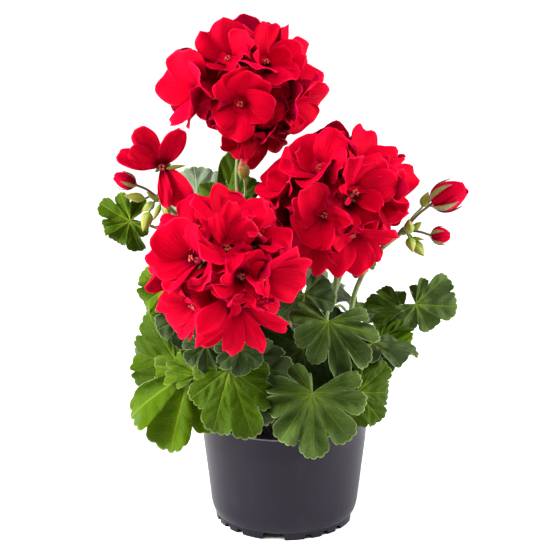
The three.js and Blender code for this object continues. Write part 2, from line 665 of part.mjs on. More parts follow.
// A young flower on the left that is open but for its narrow petals: [turn in degrees, length, width]
const YOUNG_FLOWER = {
  hub: [-85, -18, 269],
  petals: [[53, 33, 22], [120, 36, 20], [152, 35, 17], [172, 33, 17], [278, 30, 12], [309, 34, 19]],
};

function youngFlower() {
  const floret = floretFrame(YOUNG_FLOWER.hub, 0, 4, 0, 0);
  const parts = [bud(...OPENING.young_flower_left)];
  for (const [turn, length, width] of YOUNG_FLOWER.petals) {
    const petal = {
      turn: degrees(turn), length, width, rise: 40, end: -25, root: 1.5, base: -3,
      cup: -0.12, tilt: 0.1, wave: 0.8, phase: turn,
    };
    parts.push(petalBlade(petal, floret, (point) => point));
  }
  return joined(parts);
}

function leafyStem(stem) {
  const parts = [stemTube(stem, 0)];
  LEAVES[stem].forEach((entry, i) => parts.push(leaf(entry, stem, i + 20 * stem.length)));
  if (FLOWER_STALKS[stem]) parts.push(stalk(FLOWER_STALKS[stem].line, FLOWER_STALK_RADIUS, 7, 5));
  if (stem === "left") {
    parts.push(stalk([[-33, 22, 234], [-28, 8, 242], [-27, 2, 254]], 0.9, 4, 3));
    parts.push(bud([-27, 2, 252], [-29, -2, 268], 4.4));
  }
  return joined(parts);
}

const stemNames = Object.keys(STEM_LINES);
const stemRoom = joined(stemNames.map((stem) => stemTube(stem, TOUCH_GAP)));
const plant = new THREE.Group();
plant.add(meshOf("pot", pot(), POT_PLASTIC));
plant.add(meshOf("soil", soil(stemRoom), SOIL));

for (const stem of stemNames) {
  const others = stemNames.filter((name) => name !== stem).map((name) => stemTube(name, TOUCH_GAP));
  plant.add(meshOf("leafy_stem_" + stem, mainBody(leafyStem(stem).subtract(joined(others))), LEAF_GREEN));
}

for (const { head, line } of Object.values(FLOWER_STALKS)) {
  const room = stalk(line, FLOWER_STALK_RADIUS + TOUCH_GAP, 7, 5);
  plant.add(meshOf("petals_" + head + "_head", mainBody(headPetals(head).subtract(room)), PETAL_RED));
}

for (const [side, parts] of Object.entries(SPRAYS)) {
  plant.add(meshOf("bud_spray_" + side, mainBody(spray(parts).subtract(stemRoom)), BUD_GREEN));
}
for (const [name, [base, tip, radius]] of Object.entries(OPENING)) {
  const solid = name.startsWith("opening") ? bud(base, tip, radius, 8) : youngFlower();
  plant.add(meshOf(name, solid, PETAL_RED));
}

export default plant;
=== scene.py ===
import json

import bpy
import numpy as np
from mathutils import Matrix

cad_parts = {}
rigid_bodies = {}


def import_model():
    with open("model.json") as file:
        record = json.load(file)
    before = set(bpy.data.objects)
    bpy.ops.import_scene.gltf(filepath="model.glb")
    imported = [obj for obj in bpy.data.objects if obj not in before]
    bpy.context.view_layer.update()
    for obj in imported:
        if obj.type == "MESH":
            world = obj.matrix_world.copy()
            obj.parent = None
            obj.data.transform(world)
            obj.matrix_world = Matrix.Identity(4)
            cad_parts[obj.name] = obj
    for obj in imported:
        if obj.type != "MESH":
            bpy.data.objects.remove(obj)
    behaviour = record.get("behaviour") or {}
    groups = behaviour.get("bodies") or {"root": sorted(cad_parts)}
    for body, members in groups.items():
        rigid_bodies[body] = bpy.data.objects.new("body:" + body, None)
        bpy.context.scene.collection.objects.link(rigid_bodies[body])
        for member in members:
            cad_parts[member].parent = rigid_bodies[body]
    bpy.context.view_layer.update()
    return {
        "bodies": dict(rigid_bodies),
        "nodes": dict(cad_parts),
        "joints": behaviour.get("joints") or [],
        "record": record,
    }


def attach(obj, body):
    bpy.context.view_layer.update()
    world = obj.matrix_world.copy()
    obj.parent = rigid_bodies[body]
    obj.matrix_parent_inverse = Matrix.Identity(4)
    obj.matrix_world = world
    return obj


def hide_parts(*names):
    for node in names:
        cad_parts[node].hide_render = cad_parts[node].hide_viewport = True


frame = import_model()

# Nursery pot. One moulding of dark slate-grey plastic: a tapered wall with an upright band at the rim, a
# floor with a low pad in its middle, and a ring of feet that leave drain gaps between them. All sizes in this
# file are millimetres until a mesh is made.
MM = 0.001
POT_RIM_RADIUS = 60.0
POT_BASE_RADIUS = 54.0
POT_HEIGHT = 81.0
POT_BAND_BOTTOM = 63.0
POT_CORNER_HEIGHT = 12.0
POT_WALL = 1.5
POT_FLOOR_TOP = 5.5
POT_LIP_ROUND = (0.35, 0.5)
POT_SIDES = 180
POT_SHARP_ANGLE = 32
POT_GREY = (0.004, 0.002, 0.007, 1)
POT_SCUFF_GREY = (0.011, 0.007, 0.015, 1)
# A pale line painted on the top of the lip: a painted highlight where the rim's edge catches the light.
POT_LIP_HIGHLIGHT = (0.17, 0.15, 0.20, 1)

# Cuts in each quarter of the ring of feet, as start angle, end angle, height: a drain gap and three notches.
FOOT_CUTS = ((-17.5, -1, 5.55), (17.5, 22, 3.6), (33, 37.5, 3.6), (48, 52.5, 3.6))
FOOT_CUT_RADIUS = 50


def revolve(profile, sides):
    """A closed turned shape: each profile point (radius, height) becomes a ring of x = radius·cos(angle) and
    y = radius·sin(angle). The two end points lie on the axis and become poles, the underside's first."""
    profile = np.asarray(profile, float)
    angle = np.linspace(0, 2 * np.pi, sides, endpoint=False)
    inner = profile[1:-1]
    radius, height = inner[:, :1], inner[:, 1:]
    rings = np.stack([radius * np.cos(angle), radius * np.sin(angle), height + 0 * angle], axis=2)
    poles = np.array([[0, 0, profile[0, 1]], [0, 0, profile[-1, 1]]])
    return closed_rings(rings, poles)


def closed_rings(rings, poles, marks=None):
    """Rings of points (ring, place round it, xyz) joined in order, with a fan to a pole at each end."""
    count, sides = rings.shape[:2]
    index = np.arange(count * sides).reshape(count, sides)
    after = np.roll(index, -1, axis=1)
    quads = np.stack([index[:-1], after[:-1], after[1:], index[1:]], axis=2).reshape(-1, 4)
    pole = np.full(sides, count * sides)
    fans = [np.stack([pole, after[0], index[0]], axis=1), np.stack([pole + 1, index[-1], after[-1]], axis=1)]
    points = np.vstack([rings.reshape(-1, 3), poles])
    part = {"points": points, "quads": quads, "tris": np.vstack(fans), "marks": {}}
    for name, values in (marks or {}).items():
        spread = np.broadcast_to(values, (count, sides)).reshape(-1)
        part["marks"][name] = np.append(spread, [spread[0], spread[-1]])
    return part


def mesh_object(name, parts, finishes):
    """One object from parts with points in millimetres. A part's marks become number attributes of the mesh,
    and its finish picks one of the materials."""
    sizes = [len(part["points"]) for part in parts]
    starts = np.cumsum([0] + sizes[:-1])
    quads = np.concatenate([part["quads"] + start for part, start in zip(parts, starts)])
    tris = np.concatenate([part["tris"] + start for part, start in zip(parts, starts)])
    corners = np.concatenate([quads.ravel(), tris.ravel()])
    face_sizes = np.concatenate([np.full(len(quads), 4), np.full(len(tris), 3)])
    mesh = bpy.data.meshes.new(name)
    mesh.vertices.add(sum(sizes))
    mesh.vertices.foreach_set("co", (np.concatenate([part["points"] for part in parts]) * MM).ravel())
    mesh.loops.add(len(corners))
    mesh.loops.foreach_set("vertex_index", corners)
    mesh.polygons.add(len(face_sizes))
    mesh.polygons.foreach_set("loop_start", np.cumsum(face_sizes) - face_sizes)
    picks = [np.full(len(part["quads"]), part.get("finish", 0)) for part in parts]
    picks += [np.full(len(part["tris"]), part.get("finish", 0)) for part in parts]
    mesh.polygons.foreach_set("material_index", np.concatenate(picks))
    for label in sorted({label for part in parts for label in part["marks"]}):
        values = [part["marks"].get(label, np.zeros(size)) for part, size in zip(parts, sizes)]
        mesh.attributes.new(label, "FLOAT", "POINT").data.foreach_set("value", np.concatenate(values))
    mesh.update(calc_edges=True)
    mesh.shade_smooth()
    for finish in finishes:
        mesh.materials.append(finish)
    piece = bpy.data.objects.new(name, mesh)
    bpy.context.scene.collection.objects.link(piece)
    return piece


def new_finish(name, colour, roughness, **constants):
    """A material with one Principled shader, and the shader's constants set on its own sockets."""
    finish = bpy.data.materials.new(name)
    finish.use_nodes = True
    shader = finish.node_tree.nodes["Principled BSDF"]
    shader.inputs["Base Color"].default_value = colour
    shader.inputs["Roughness"].default_value = roughness
    for socket, value in constants.items():
        shader.inputs[socket.replace("_", " ")].default_value = value
    return finish, finish.node_tree, shader


def put(tree, kind, inputs=None, **settings):
    """A shader node: settings are its options, and inputs gives sockets a value or another node's output."""
    made = tree.nodes.new("ShaderNode" + kind)
    for key, value in settings.items():
        setattr(made, key, value)
    for key, value in (inputs or {}).items():
        if isinstance(value, bpy.types.NodeSocket):
            tree.links.new(value, made.inputs[key])
        else:
            made.inputs[key].default_value = value
    return made


def object_place(tree):
    """A point's place in the object's own frame, in metres."""
    return put(tree, "TexCoord").outputs["Object"]


def mark(tree, name):
    """A number attribute of the mesh."""
    return put(tree, "Attribute", attribute_name=name).outputs["Fac"]


def noise(tree, place, scale, detail=2, roughness=0.5):
    """Clouds from 0 to 1: scale is lumps to the metre, and each step of detail adds finer ones."""
    inputs = {"Vector": place, "Scale": scale, "Detail": detail, "Roughness": roughness}
    return put(tree, "TexNoise", inputs).outputs["Fac"]


def mixed(tree, share, under, over):
    """The colour over laid on the colour under by a share from 0 to 1."""
    return put(tree, "Mix", {0: share, 6: under, 7: over}, data_type="RGBA").outputs[2]


def paint(tree, shader, colour):
    """Gives the shader a colour that other nodes work out."""
    tree.links.new(colour, shader.inputs["Base Color"])


def ramp(tree, value, low, high):
    """0 where the value is at or under low, 1 where it is at or over high, and smooth between."""
    return put(tree, "MapRange", {"Value": value, "From Min": low, "From Max": high},
               interpolation_type="SMOOTHSTEP").outputs[0]


def sums(tree, operation, first, second=0.0):
    """One step of arithmetic on one or two values."""
    return put(tree, "Math", {0: first, 1: second}, operation=operation).outputs[0]


def plus(tree, first, second):
    """Two values added."""
    return sums(tree, "ADD", first, second)


def times(tree, first, second):
    """Two values multiplied."""
    return sums(tree, "MULTIPLY", first, second)


def bump(tree, shader, height, depth):
    """Relief of the shader's surface: depth in metres for a height of 1."""
    made = put(tree, "Bump", {"Height": height, "Distance": depth, "Strength": 1.0})
    tree.links.new(made.outputs[0], shader.inputs["Normal"])


def pot_profile():
    """Points (radius, height) of the underside pad, foot ring, corner, tapered wall and band, a lip of two
    quarter ellipses, and down the inside to the floor."""
    band_foot = POT_RIM_RADIUS - 0.4
    rim_inside = POT_RIM_RADIUS - POT_WALL
    wide, high = POT_LIP_ROUND
    turns = np.linspace(0, np.pi / 2, 5)
    lip = [(POT_RIM_RADIUS - wide * (1 - np.cos(a)), POT_HEIGHT - high + high * np.sin(a)) for a in turns]
    lip += [(rim_inside + wide * (1 - np.cos(a)), POT_HEIGHT - high + high * np.sin(a)) for a in turns[::-1]]
    return [
        (0, 0), (17.6, 0), (18, 0.3), (20, 3.2), (45.2, 3.2), (46.0, 0.25), (46.4, 0), (50.3, 0), (50.7, 0.3),
        (51.0, 5.6), (51.7, 6.3), (52.3, 7.6), (52.9, 9.4), (53.5, 11.6),
        (POT_BASE_RADIUS, 14.4), (54.35, 18),
        (band_foot - 0.3, POT_BAND_BOTTOM - 3), (band_foot, POT_BAND_BOTTOM),
        (band_foot + 0.2, POT_BAND_BOTTOM + 3), (band_foot + 0.3, POT_BAND_BOTTOM + 7),
        (POT_RIM_RADIUS - 0.1, POT_HEIGHT - 2.2),
        *lip,
        (rim_inside - 0.4, POT_BAND_BOTTOM + 1), (POT_BASE_RADIUS - POT_WALL, POT_CORNER_HEIGHT + 0.5),
        (49.6, POT_FLOOR_TOP + 0.9), (48.8, POT_FLOOR_TOP), (0, POT_FLOOR_TOP),
    ]


def foot_cutters():
    """Wedges that cut the ring of feet: boxes turned about the axis, 1.4 mm wider a side at the ground."""
    parts = []
    box = np.array([[x, y, z] for z in (0, 1) for x, y in ((-1, 0), (1, 0), (1, 1), (-1, 1))], float)
    quads = np.array([[0, 3, 2, 1], [4, 5, 6, 7], [0, 1, 5, 4], [1, 2, 6, 5], [2, 3, 7, 6], [3, 0, 4, 7]])
    for quarter in range(0, 360, 90):
        for start, end, height in FOOT_CUTS:
            half = FOOT_CUT_RADIUS * np.radians(end - start) / 2
            turn = np.radians(quarter + (start + end) / 2)
            across = box[:, 0] * (half + 1.4 * (1 - box[:, 2]))
            out = -54.5 + 12 * box[:, 1]
            up = -1 + (height + 1) * box[:, 2]
            points = np.stack([across * np.cos(turn) - out * np.sin(turn),
                               across * np.sin(turn) + out * np.cos(turn), up], axis=1)
            parts.append({"points": points, "quads": quads, "tris": np.zeros((0, 3), int), "marks": {}})
    return parts


pot_plastic, tree, shader = new_finish("pot_plastic", POT_GREY, 0.4, Specular_IOR_Level=0.15)
place = object_place(tree)
height = put(tree, "SeparateXYZ", {0: place}).outputs["Z"]
drag = noise(tree, put(tree, "Mapping", {"Vector": place, "Scale": (1, 1, 0.12)}).outputs[0], 160, 3)
cloud = noise(tree, place, 26, 5, 0.65)
scuff = times(tree, ramp(tree, cloud, 0.5, 0.72), ramp(tree, drag, 0.45, 0.7))
# The top half millimetre of the lip is painted pale: a painted highlight along the rim's edge.
lip = ramp(tree, height, (POT_HEIGHT - 0.6) * MM, (POT_HEIGHT - 0.1) * MM)
paint(tree, shader, mixed(tree, lip, mixed(tree, scuff, POT_GREY, POT_SCUFF_GREY), POT_LIP_HIGHLIGHT))
tree.links.new(put(tree, "MapRange", {"Value": cloud, "To Min": 0.36, "To Max": 0.46}).outputs[0],
               shader.inputs["Roughness"])
bump(tree, shader, plus(tree, times(tree, noise(tree, place, 900), 0.5), drag), 0.00006)

pot = mesh_object("nursery_pot", [revolve(pot_profile(), POT_SIDES)], [pot_plastic])
cutters = mesh_object("foot_cutters", foot_cutters(), [])
cut = pot.modifiers.new("drain gaps", "BOOLEAN")
cut.operation = "DIFFERENCE"
cut.solver = "EXACT"
cut.object = cutters
bpy.context.view_layer.update()
cut_mesh = bpy.data.meshes.new_from_object(pot.evaluated_get(bpy.context.evaluated_depsgraph_get()))
pot.modifiers.clear()
pot.data = cut_mesh
pot.data.name = "nursery_pot"
cut_mesh.shade_smooth()
cut_mesh.set_sharp_from_angle(angle=np.radians(POT_SHARP_ANGLE))
bpy.data.objects.remove(cutters)
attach(pot, "root")
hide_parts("pot")

# Potting soil. Moist dark peat with crumbs of bark and a few white grains of perlite, filled to a finger's
# width under the rim and heaped a little round the stems. Peat and bark are set darker than their own colour,
# as painted shade of the leaves over the soil.
SOIL_TOP = 71.0
SOIL_RADIUS = 57.6
SOIL_UNDERSIDE = 5.9
SOIL_DOME = 1.5
# Peat and bark colours: their own dark brown, darkened further as painted shade from the leaves above.
SOIL_PEAT_AND_SHADE = (0.006, 0.005, 0.005, 1)
BARK_AND_SHADE = (0.018, 0.012, 0.009, 1)
PERLITE = (0.34, 0.32, 0.28, 1)


def crumbs(x, y, size, seed):
    """Rounded lumps from 0 to 1: twelve crossing waves of about one length, turned by the golden angle."""
    total = np.zeros_like(x)
    for i in range(12):
        turn = 2.4 * i + seed
        step = (x * np.cos(turn) + y * np.sin(turn)) / size
        total += np.sin(step * 2 * np.pi * (0.8 + 0.05 * i) + 1.7 * i * seed)
    return np.clip(0.5 + total / 7, 0, 1)


def soil_plug():
    """A turned plug whose top is a height field: a low dome, a sunk edge, and crumbs of three sizes."""
    sides, rows = 240, 80
    angle = np.linspace(0, 2 * np.pi, sides, endpoint=False)
    radius = np.linspace(SOIL_RADIUS, 0.4, rows)[:, None]
    x, y = radius * np.cos(angle), radius * np.sin(angle)
    lumps = 1.6 * crumbs(x, y, 11, 1.0) + 1.5 * crumbs(x, y, 4.2, 2.0) ** 2
    lumps = lumps + 0.9 * crumbs(x, y, 1.9, 3.0) ** 2
    dome = SOIL_DOME * (1 - (radius / SOIL_RADIUS) ** 2)
    top = SOIL_TOP - 1.8 + dome + lumps * np.clip((SOIL_RADIUS - radius) / 1.5, 0.2, 1)
    low = [(30, SOIL_UNDERSIDE), (47.5, SOIL_UNDERSIDE), (51.6, 13), (57.4, 62), (SOIL_RADIUS, 66)]
    under = np.array(low)[:, :, None]
    rings = np.concatenate([
        np.stack([under[:, 0] * np.cos(angle), under[:, 0] * np.sin(angle), under[:, 1] + 0 * angle], axis=2),
        np.stack([x, y, top], axis=2),
    ])
    return closed_rings(rings, np.array([[0, 0, SOIL_UNDERSIDE], [0, 0, top[-1].mean()]]))


soil_finish, tree, shader = new_finish("potting_soil", SOIL_PEAT_AND_SHADE, 0.95, Specular_IOR_Level=0.25)
place = object_place(tree)
crumb = put(tree, "TexVoronoi", {"Vector": place, "Scale": 380})
bits = put(tree, "TexVoronoi", {"Vector": place, "Scale": 210})
shade = ramp(tree, crumb.outputs["Color"], 0.2, 0.9)
perlite = sums(tree, "GREATER_THAN", put(tree, "SeparateColor", {0: bits.outputs["Color"]}).outputs[0], 0.955)
paint(tree, shader, mixed(tree, perlite, mixed(tree, shade, SOIL_PEAT_AND_SHADE, BARK_AND_SHADE), PERLITE))
bump(tree, shader, crumb.outputs["Distance"], 0.0012)

soil = mesh_object("potting_soil", [soil_plug()], [soil_finish])
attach(soil, "root")
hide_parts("soil")

# Leafy stems. Four green shoots rise from the soil. Each carries round, lobed and toothed leaves on long thin
# petioles, with a pair of small papery stipules at each petiole's foot. Three end in a flower stalk.
STEM_RADIUS = 3.6
STALK_RADIUS = 1.8
PETIOLE_RADIUS = 1.3
LEAF_THICKNESS = 0.5
STEM_STEPS = 60
PETIOLE_STEPS = 20
LEAF_ROWS = 18
LOBE_COLUMNS = 20
LOBE_TEETH = 5
SIDE_VEIN_STEP = 10
STIPULE_LENGTH = 6.5
STIPULE_THICKNESS = 0.3
STEM_GREEN = (0.085, 0.125, 0.022, 1)
STEM_LIGHT = (0.14, 0.19, 0.04, 1)
STEM_BROWN = (0.07, 0.05, 0.02, 1)
# The grown leaf's green is greyer than its own colour: partly a painted sheen of light glancing off hairy
# leaf faces.
LEAF_GROWN_AND_SHEEN = (0.033, 0.049, 0.021, 1)
LEAF_FRESH = (0.038, 0.073, 0.0006, 1)
LEAF_ZONE = (0.014, 0.031, 0.0008, 1)
# LEAF_SHADE is painted shade: the near-black green given to leaves deep inside the plant.
LEAF_SHADE = (0.004, 0.008, 0.002, 1)
LEAF_VEIN = (0.13, 0.19, 0.015, 1)
LEAF_UNDER = (0.115, 0.150, 0.092, 1)
LEAF_UNDER_VEIN = (0.20, 0.24, 0.16, 1)
LEAF_HAIR = (0.20, 0.25, 0.09, 1)
STIPULE_TAN = (0.15, 0.13, 0.06, 1)
STIPULE_GREEN = (0.12, 0.16, 0.05, 1)

STEM_LINES = {
    "left": [(-10, 7, 54), (-10, 7, 74), (-15, 9, 102), (-27, 12, 142), (-33, 17, 176), (-31, 20, 206)],
    "front": [(-6, -9, 54), (-6, -9, 74), (-10, -13, 98), (-20, -20, 124), (-26, -30, 146)],
    "right": [(9, 1, 54), (9, 1, 74), (15, 2, 104), (27, 0, 138), (35, 0, 170)],
    "back": [(3, 18, 54), (3, 18, 74), (3, 23, 104), (2, 28, 138), (0, 30, 160)],
}
FLOWER_STALKS = {
    "left": [(-31, 19, 198), (-32, 21, 222), (-34, 23, 252), (-31, 27, 284)],
    "right": [(34, 0, 162), (37, -3, 188), (35, -7, 215)],
    "front": [(-25, -27, 140), (-33, -44, 158), (-41, -62, 182)],
}

# Each leaf is: junction of petiole and blade, the way its upper side looks, the way its tip points, radius,
# lobes, height of its foot on the stem, green, and its shape: lobe depth, cup, ripple, wave, fold, droop,
# breadth, half angle of the open sinus. Lobes are a number, where they are even, or a list of the turn from
# the tip and the length of each as a share of the radius. The green is a grown leaf's at 0, a fresh yellowish
# one at 1, and a fresh but deeper one past it. It also carries painted light and shade: below 0 it is painted
# shade, down to near black for a leaf deep inside the plant, and many leaves' greens are set lighter or
# darker to paint in how much light falls on them.
PLAIN_SHAPE = (0.14, -0.04, 0.05, 0.05, 0.03, 0.05, 1.0, 0.5)
LEAVES = {
    "left": [
        ((-67, -36, 125), (-0.12, -0.9, 0.42), (-0.28, -0.34, -0.9), 60,
         [(-84, 0.50), (-40, 0.95), (3, 1.0), (37, 0.76), (70, 0.5)], 108, 1.25,
         (0.08, -0.03, 0.04, 0.04, 0.03, 0.0, 1.0, 2.15)),
        ((-77, -12, 120), (-0.3, -0.9, 0.25), (-0.85, 0.3, 0.0), 47,
         [(-92, 0.84), (-52, 1.0), (-8, 0.86), (36, 0.84), (80, 0.62)], 112, 1.65,
         (0.07, -0.06, 0.02, 0.035, 0.04, 0.0, 1.0, 0.5)),
        ((-70, -22, 161), (-0.2, -0.9, 0.4), (-0.1, -0.35, -0.9), 24, 5, 140, -0.3,
         (0.14, 0.0, 0.05, 0.05, 0.0, 0.1, 1.0, 0.6)),
        ((-46, 30, 222), (-0.4, -0.82, 0.4), (0.12, 0.1, 0.97), 51,
         [(-64, 0.50), (-34, 0.66), (-2, 1.0), (30, 0.48), (64, 0.46)], 188, 0.8,
         (0.0, 0.04, 0.004, 0.02, 0.12, 0.0, 1.2, 0.8)),
        ((-63, 42, 220), (0.3, 0.85, -0.2), (-0.12, 0.2, 0.97), 33, 5, 182, 0.4,
         (0.02, 0.05, 0.01, 0.03, 0.1, 0.0, 1.0, 0.9)),
        ((-110, 4, 223), (-0.2, -0.95, 0.2), (-0.87, 0.0, -0.17), 29,
         [(-132, 0.6), (-86, 0.76), (-38, 0.96), (2, 0.72), (46, 0.66), (92, 0.78), (142, 0.55)], 180, 1.7,
         (0.10, 0.03, 0.05, 0.06, 0.05, 0.0, 1.0, 0.4)),
        ((-85, -10, 177), (-0.3, -0.85, 0.35), (-0.8, -0.1, -0.35), 23, 5, 158, 1.0,
         (0.16, 0.05, 0.06, 0.06, 0.1, 0.0, 1.0, 0.5)),
        ((-29, 36, 238), (0.2, -0.8, 0.5), (0.6, 0.1, 0.3), 11, 5, 196, 0.2,
         (0.18, 0.05, 0.06, 0.04, 0.2, 0.0, 1.0, 0.5)),
        ((-66, 40, 112), (-0.7, 0.5, 0.45), (-0.5, 0.4, -0.8), 40, 7, 112, 0.6, PLAIN_SHAPE),
        ((-80, 26, 162), (-0.75, 0.3, 0.65), (-0.75, 0.5, -0.35), 32, 5, 148, 0.6,
         (0.15, -0.04, 0.05, 0.05, 0.03, 0.05, 1.0, 0.5)),
        ((-46, 52, 192), (-0.4, 0.6, 0.7), (-0.4, 0.8, -0.4), 33, 5, 166, 0.5, PLAIN_SHAPE),
    ],
    "front": [
        ((-38, -68, 138), (-0.05, -0.93, 0.36), (0.05, -0.38, -0.92), 51,
         [(-92, 0.55), (-58, 0.72), (-20, 0.92), (16, 1.0), (52, 0.78), (88, 0.55)], 118, 1.6,
         (0.05, -0.06, 0.014, 0.04, -0.22, 0.05, 0.96, 1.1)),
        ((-28, -51, 132), (0.15, -0.85, 0.5), (0.5, -0.4, -0.78), 46,
         [(-38, 0.72), (-6, 0.92), (28, 1.0), (62, 0.9), (98, 0.78)], 108, -0.35,
         (0.08, 0.03, 0.03, 0.03, 0.03, 0.05, 0.9, 1.3)),
        ((-60, -54, 129), (-0.2, -0.75, 0.62), (-0.95, -0.1, 0.15), 29,
         [(-70, 0.8), (-32, 0.95), (4, 1.0), (36, 0.66)], 104, 0.9,
         (0.08, 0.03, 0.04, 0.05, 0.05, 0.1, 0.9, 1.35)),
        # A leaf inside the plant, its green below 0: painted shade.
        ((-36, -22, 138), (0.0, -0.95, 0.3), (0.0, -0.3, -0.95), 30, 5, 100, -1.2,
         (0.05, 0.0, 0.01, 0.02, 0.0, 0.0, 1.0, 0.4)),
        ((-54, -62, 153), (-0.1, -0.85, 0.5), (0.0, -0.5, -0.85), 19, 5, 136, -0.5,
         (0.14, -0.05, 0.05, 0.04, 0.0, 0.1, 1.0, 0.9)),
        ((-31, -70, 154), (0.05, -0.85, 0.5), (0.05, -0.5, -0.85), 19, 5, 141, -0.5,
         (0.14, -0.05, 0.05, 0.04, 0.0, 0.1, 1.0, 0.9)),
    ],
    "right": [
        ((19, -70, 121), (0.05, -0.93, 0.35), (0.02, -0.3, -0.95), 46,
         [(-146, 0.52), (-101, 0.73), (-76, 0.74), (-34, 0.88), (0, 1.0), (38, 0.93), (78, 0.85), (108, 0.8)],
         112, 0.4, (0.16, 0.03, 0.06, 0.03, 0.0, 0.0, 1.0, 0.4)),
        ((30, -58, 169), (0.08, -0.88, 0.46), (0.3, -0.45, -0.9), 41,
         [(-146, 0.62), (-117, 0.68), (-76, 0.62), (-36, 0.72), (-2, 0.98), (27, 1), (59, 0.93), (88, 0.76)],
         154, 0.3, (0.14, 0.02, 0.06, 0.05, 0.0, 0.05, 1.0, 0.8)),
        ((14, -18, 176), (0.15, -0.85, 0.5), (0.25, -0.5, -0.8), 24, 5, 163, -0.3,
         (0.14, -0.05, 0.05, 0.05, 0.0, 0.0, 1.0, 0.5)),
        # A large leaf inside the plant that closes the gap behind the front leaves, dark with painted shade.
        ((14, -24, 138), (0.1, -0.95, 0.3), (0.1, -0.3, -0.95), 44, 5, 100, -1.3,
         (0.05, 0.0, 0.03, 0.03, 0.0, 0.0, 1.0, 0.5)),
        ((68, -14, 140), (0.42, -0.72, 0.55), (0.8, 0.1, 0.65), 35,
         [(-80, 0.6), (-48, 0.82), (-12, 1.0), (24, 0.96), (62, 0.6)], 140, 1.0,
         (0.05, 0.05, 0.012, 0.03, 0.1, 0.0, 0.82, 0.8)),
        ((62, -32, 144), (0.1, -0.25, 0.95), (0.98, -0.1, -0.05), 34, 5, 128, 0.0,
         (0.10, 0.04, 0.014, 0.02, -0.05, 0.05, 0.5, 1.0)),
        ((94, -8, 165), (0.1, -0.9, 0.38), (0.95, 0.1, -0.12), 32,
         [(-150, 0.58), (-104, 0.56), (-62, 0.68), (2, 0.95), (47, 1.0), (82, 0.62), (112, 0.45)], 150, 0.25,
         (0.07, 0.1, 0.028, 0.05, 0.1, 0.0, 1.0, 0.5)),
        ((84, -11, 161), (-0.1, -0.86, 0.5), (-0.92, 0.1, 0.28), 28,
         [(-72, 0.6), (-36, 0.86), (4, 1.0), (40, 0.76)], 146, 0.6,
         (0.07, 0.04, 0.012, 0.04, 0.05, 0.0, 0.95, 0.8)),
        ((52, -39, 110), (0.45, -0.88, 0.1), (0.8, 0.5, -0.1), 38,
         [(-95, 0.72), (-48, 0.86), (-8, 0.84), (32, 0.86), (78, 0.76)], 106, 1.8,
         (0.06, -0.06, 0.015, 0.03, 0.03, 0.0, 1.0, 0.8)),
        # A leaf inside the plant, its green below 0: painted shade.
        ((52, -13, 128), (0.2, -0.9, 0.3), (0.2, -0.4, -0.9), 32, 5, 102, -1.0,
         (0.05, 0.0, 0.02, 0.02, 0.0, 0.0, 1.0, 0.5)),
        ((50, 24, 190), (0.1, -0.7, 0.7), (0.5, 0.3, 0.5), 18, 5, 166, 0.3,
         (0.14, 0.05, 0.05, 0.05, 0.05, 0.0, 1.0, 0.5)),
        ((60, 24, 122), (0.85, 0.15, 0.45), (0.45, 0.0, -0.88), 38, 7, 116, 0.4, PLAIN_SHAPE),
        ((52, 38, 152), (0.5, 0.5, 0.7), (0.5, 0.75, -0.4), 29, 5, 156, 0.5, PLAIN_SHAPE),
    ],
    "back": [
        ((20, 70, 114), (0.15, 0.88, 0.45), (0.1, 0.5, -0.85), 42, 7, 118, 0.5, PLAIN_SHAPE),
        ((-26, 64, 134), (-0.15, 0.8, 0.55), (-0.1, 0.7, -0.75), 40, 7, 110, 0.6, PLAIN_SHAPE),
        ((4, 56, 172), (0.0, 0.6, 0.8), (0.0, 0.85, -0.5), 36, 7, 154, 0.5, PLAIN_SHAPE),
    ],
}


def draw(seed):
    """The same repeatable draw between 0 and 1 for each seed."""
    wave = np.sin(seed * 127.1 + 311.7) * 43758.5453
    return wave - np.floor(wave)


def unit(vector):
    """Vectors along the last axis, at length 1."""
    vector = np.asarray(vector, float)
    return vector / (np.linalg.norm(vector, axis=-1, keepdims=True) + 1e-12)


def placed(origin, *steps):
    """The origin plus steps, each a grid of lengths along one way."""
    return origin + sum(lengths[..., None] * way for lengths, way in steps)


def blade_grid(rows, columns):
    """Places on a blade: 0 to 1 along it, in rows, and -1 to 1 across it, in columns."""
    return np.linspace(0, 1, rows)[:, None], np.linspace(-1, 1, columns)[None, :]


def curve_through(points, count):
    """A smooth curve through the points: a cubic piece between each two, whose slopes come from the
    neighbours on both sides, weighed by the square root of their distance."""
    p = np.asarray(points, float)
    p = np.vstack([2 * p[0] - p[1], p, 2 * p[-1] - p[-2]])
    step = np.sqrt(np.linalg.norm(np.diff(p, axis=0), axis=1))[:, None]
    ahead, behind = np.diff(p, axis=0)[1:] / step[1:], np.diff(p, axis=0)[:-1] / step[:-1]
    slope = behind - (p[2:] - p[:-2]) / (step[:-1] + step[1:]) + ahead
    place = np.linspace(0, len(points) - 1, count)
    k = np.minimum(place.astype(int), len(points) - 2)
    w = (place - k)[:, None]
    a, b, d = p[1 + k], p[2 + k], step[1 + k]
    return ((2 * w**3 - 3 * w**2 + 1) * a + (w**3 - 2 * w**2 + w) * d * slope[k]
            + (3 * w**2 - 2 * w**3) * b + (w**3 - w**2) * d * slope[k + 1])


def tube(path, radius, sides=10, marks=None, ribs=0.0):
    """A round stalk: rings of the given radius, one number or one for each point, square to the path, with a
    pole at each end. ribs raises five low ridges along it, as a share of the radius."""
    path = np.asarray(path, float)
    tangent = unit(np.gradient(path, axis=0))
    reference = np.eye(3)[np.argmin(np.abs(path[-1] - path[0]))]
    side = unit(np.cross(tangent, reference))
    top = np.cross(tangent, side)
    angle = np.linspace(0, 2 * np.pi, sides, endpoint=False)
    reach = np.broadcast_to(radius, len(path))[:, None] * (1 + ribs * np.cos(5 * angle))
    rings = placed(path[:, None], (reach * np.cos(angle), side[:, None]),
                   (reach * np.sin(angle), top[:, None]))
    length = np.linspace(0, 1, len(path))[:, None]
    return closed_rings(rings, path[[0, -1]], {"length": length, **(marks or {})})


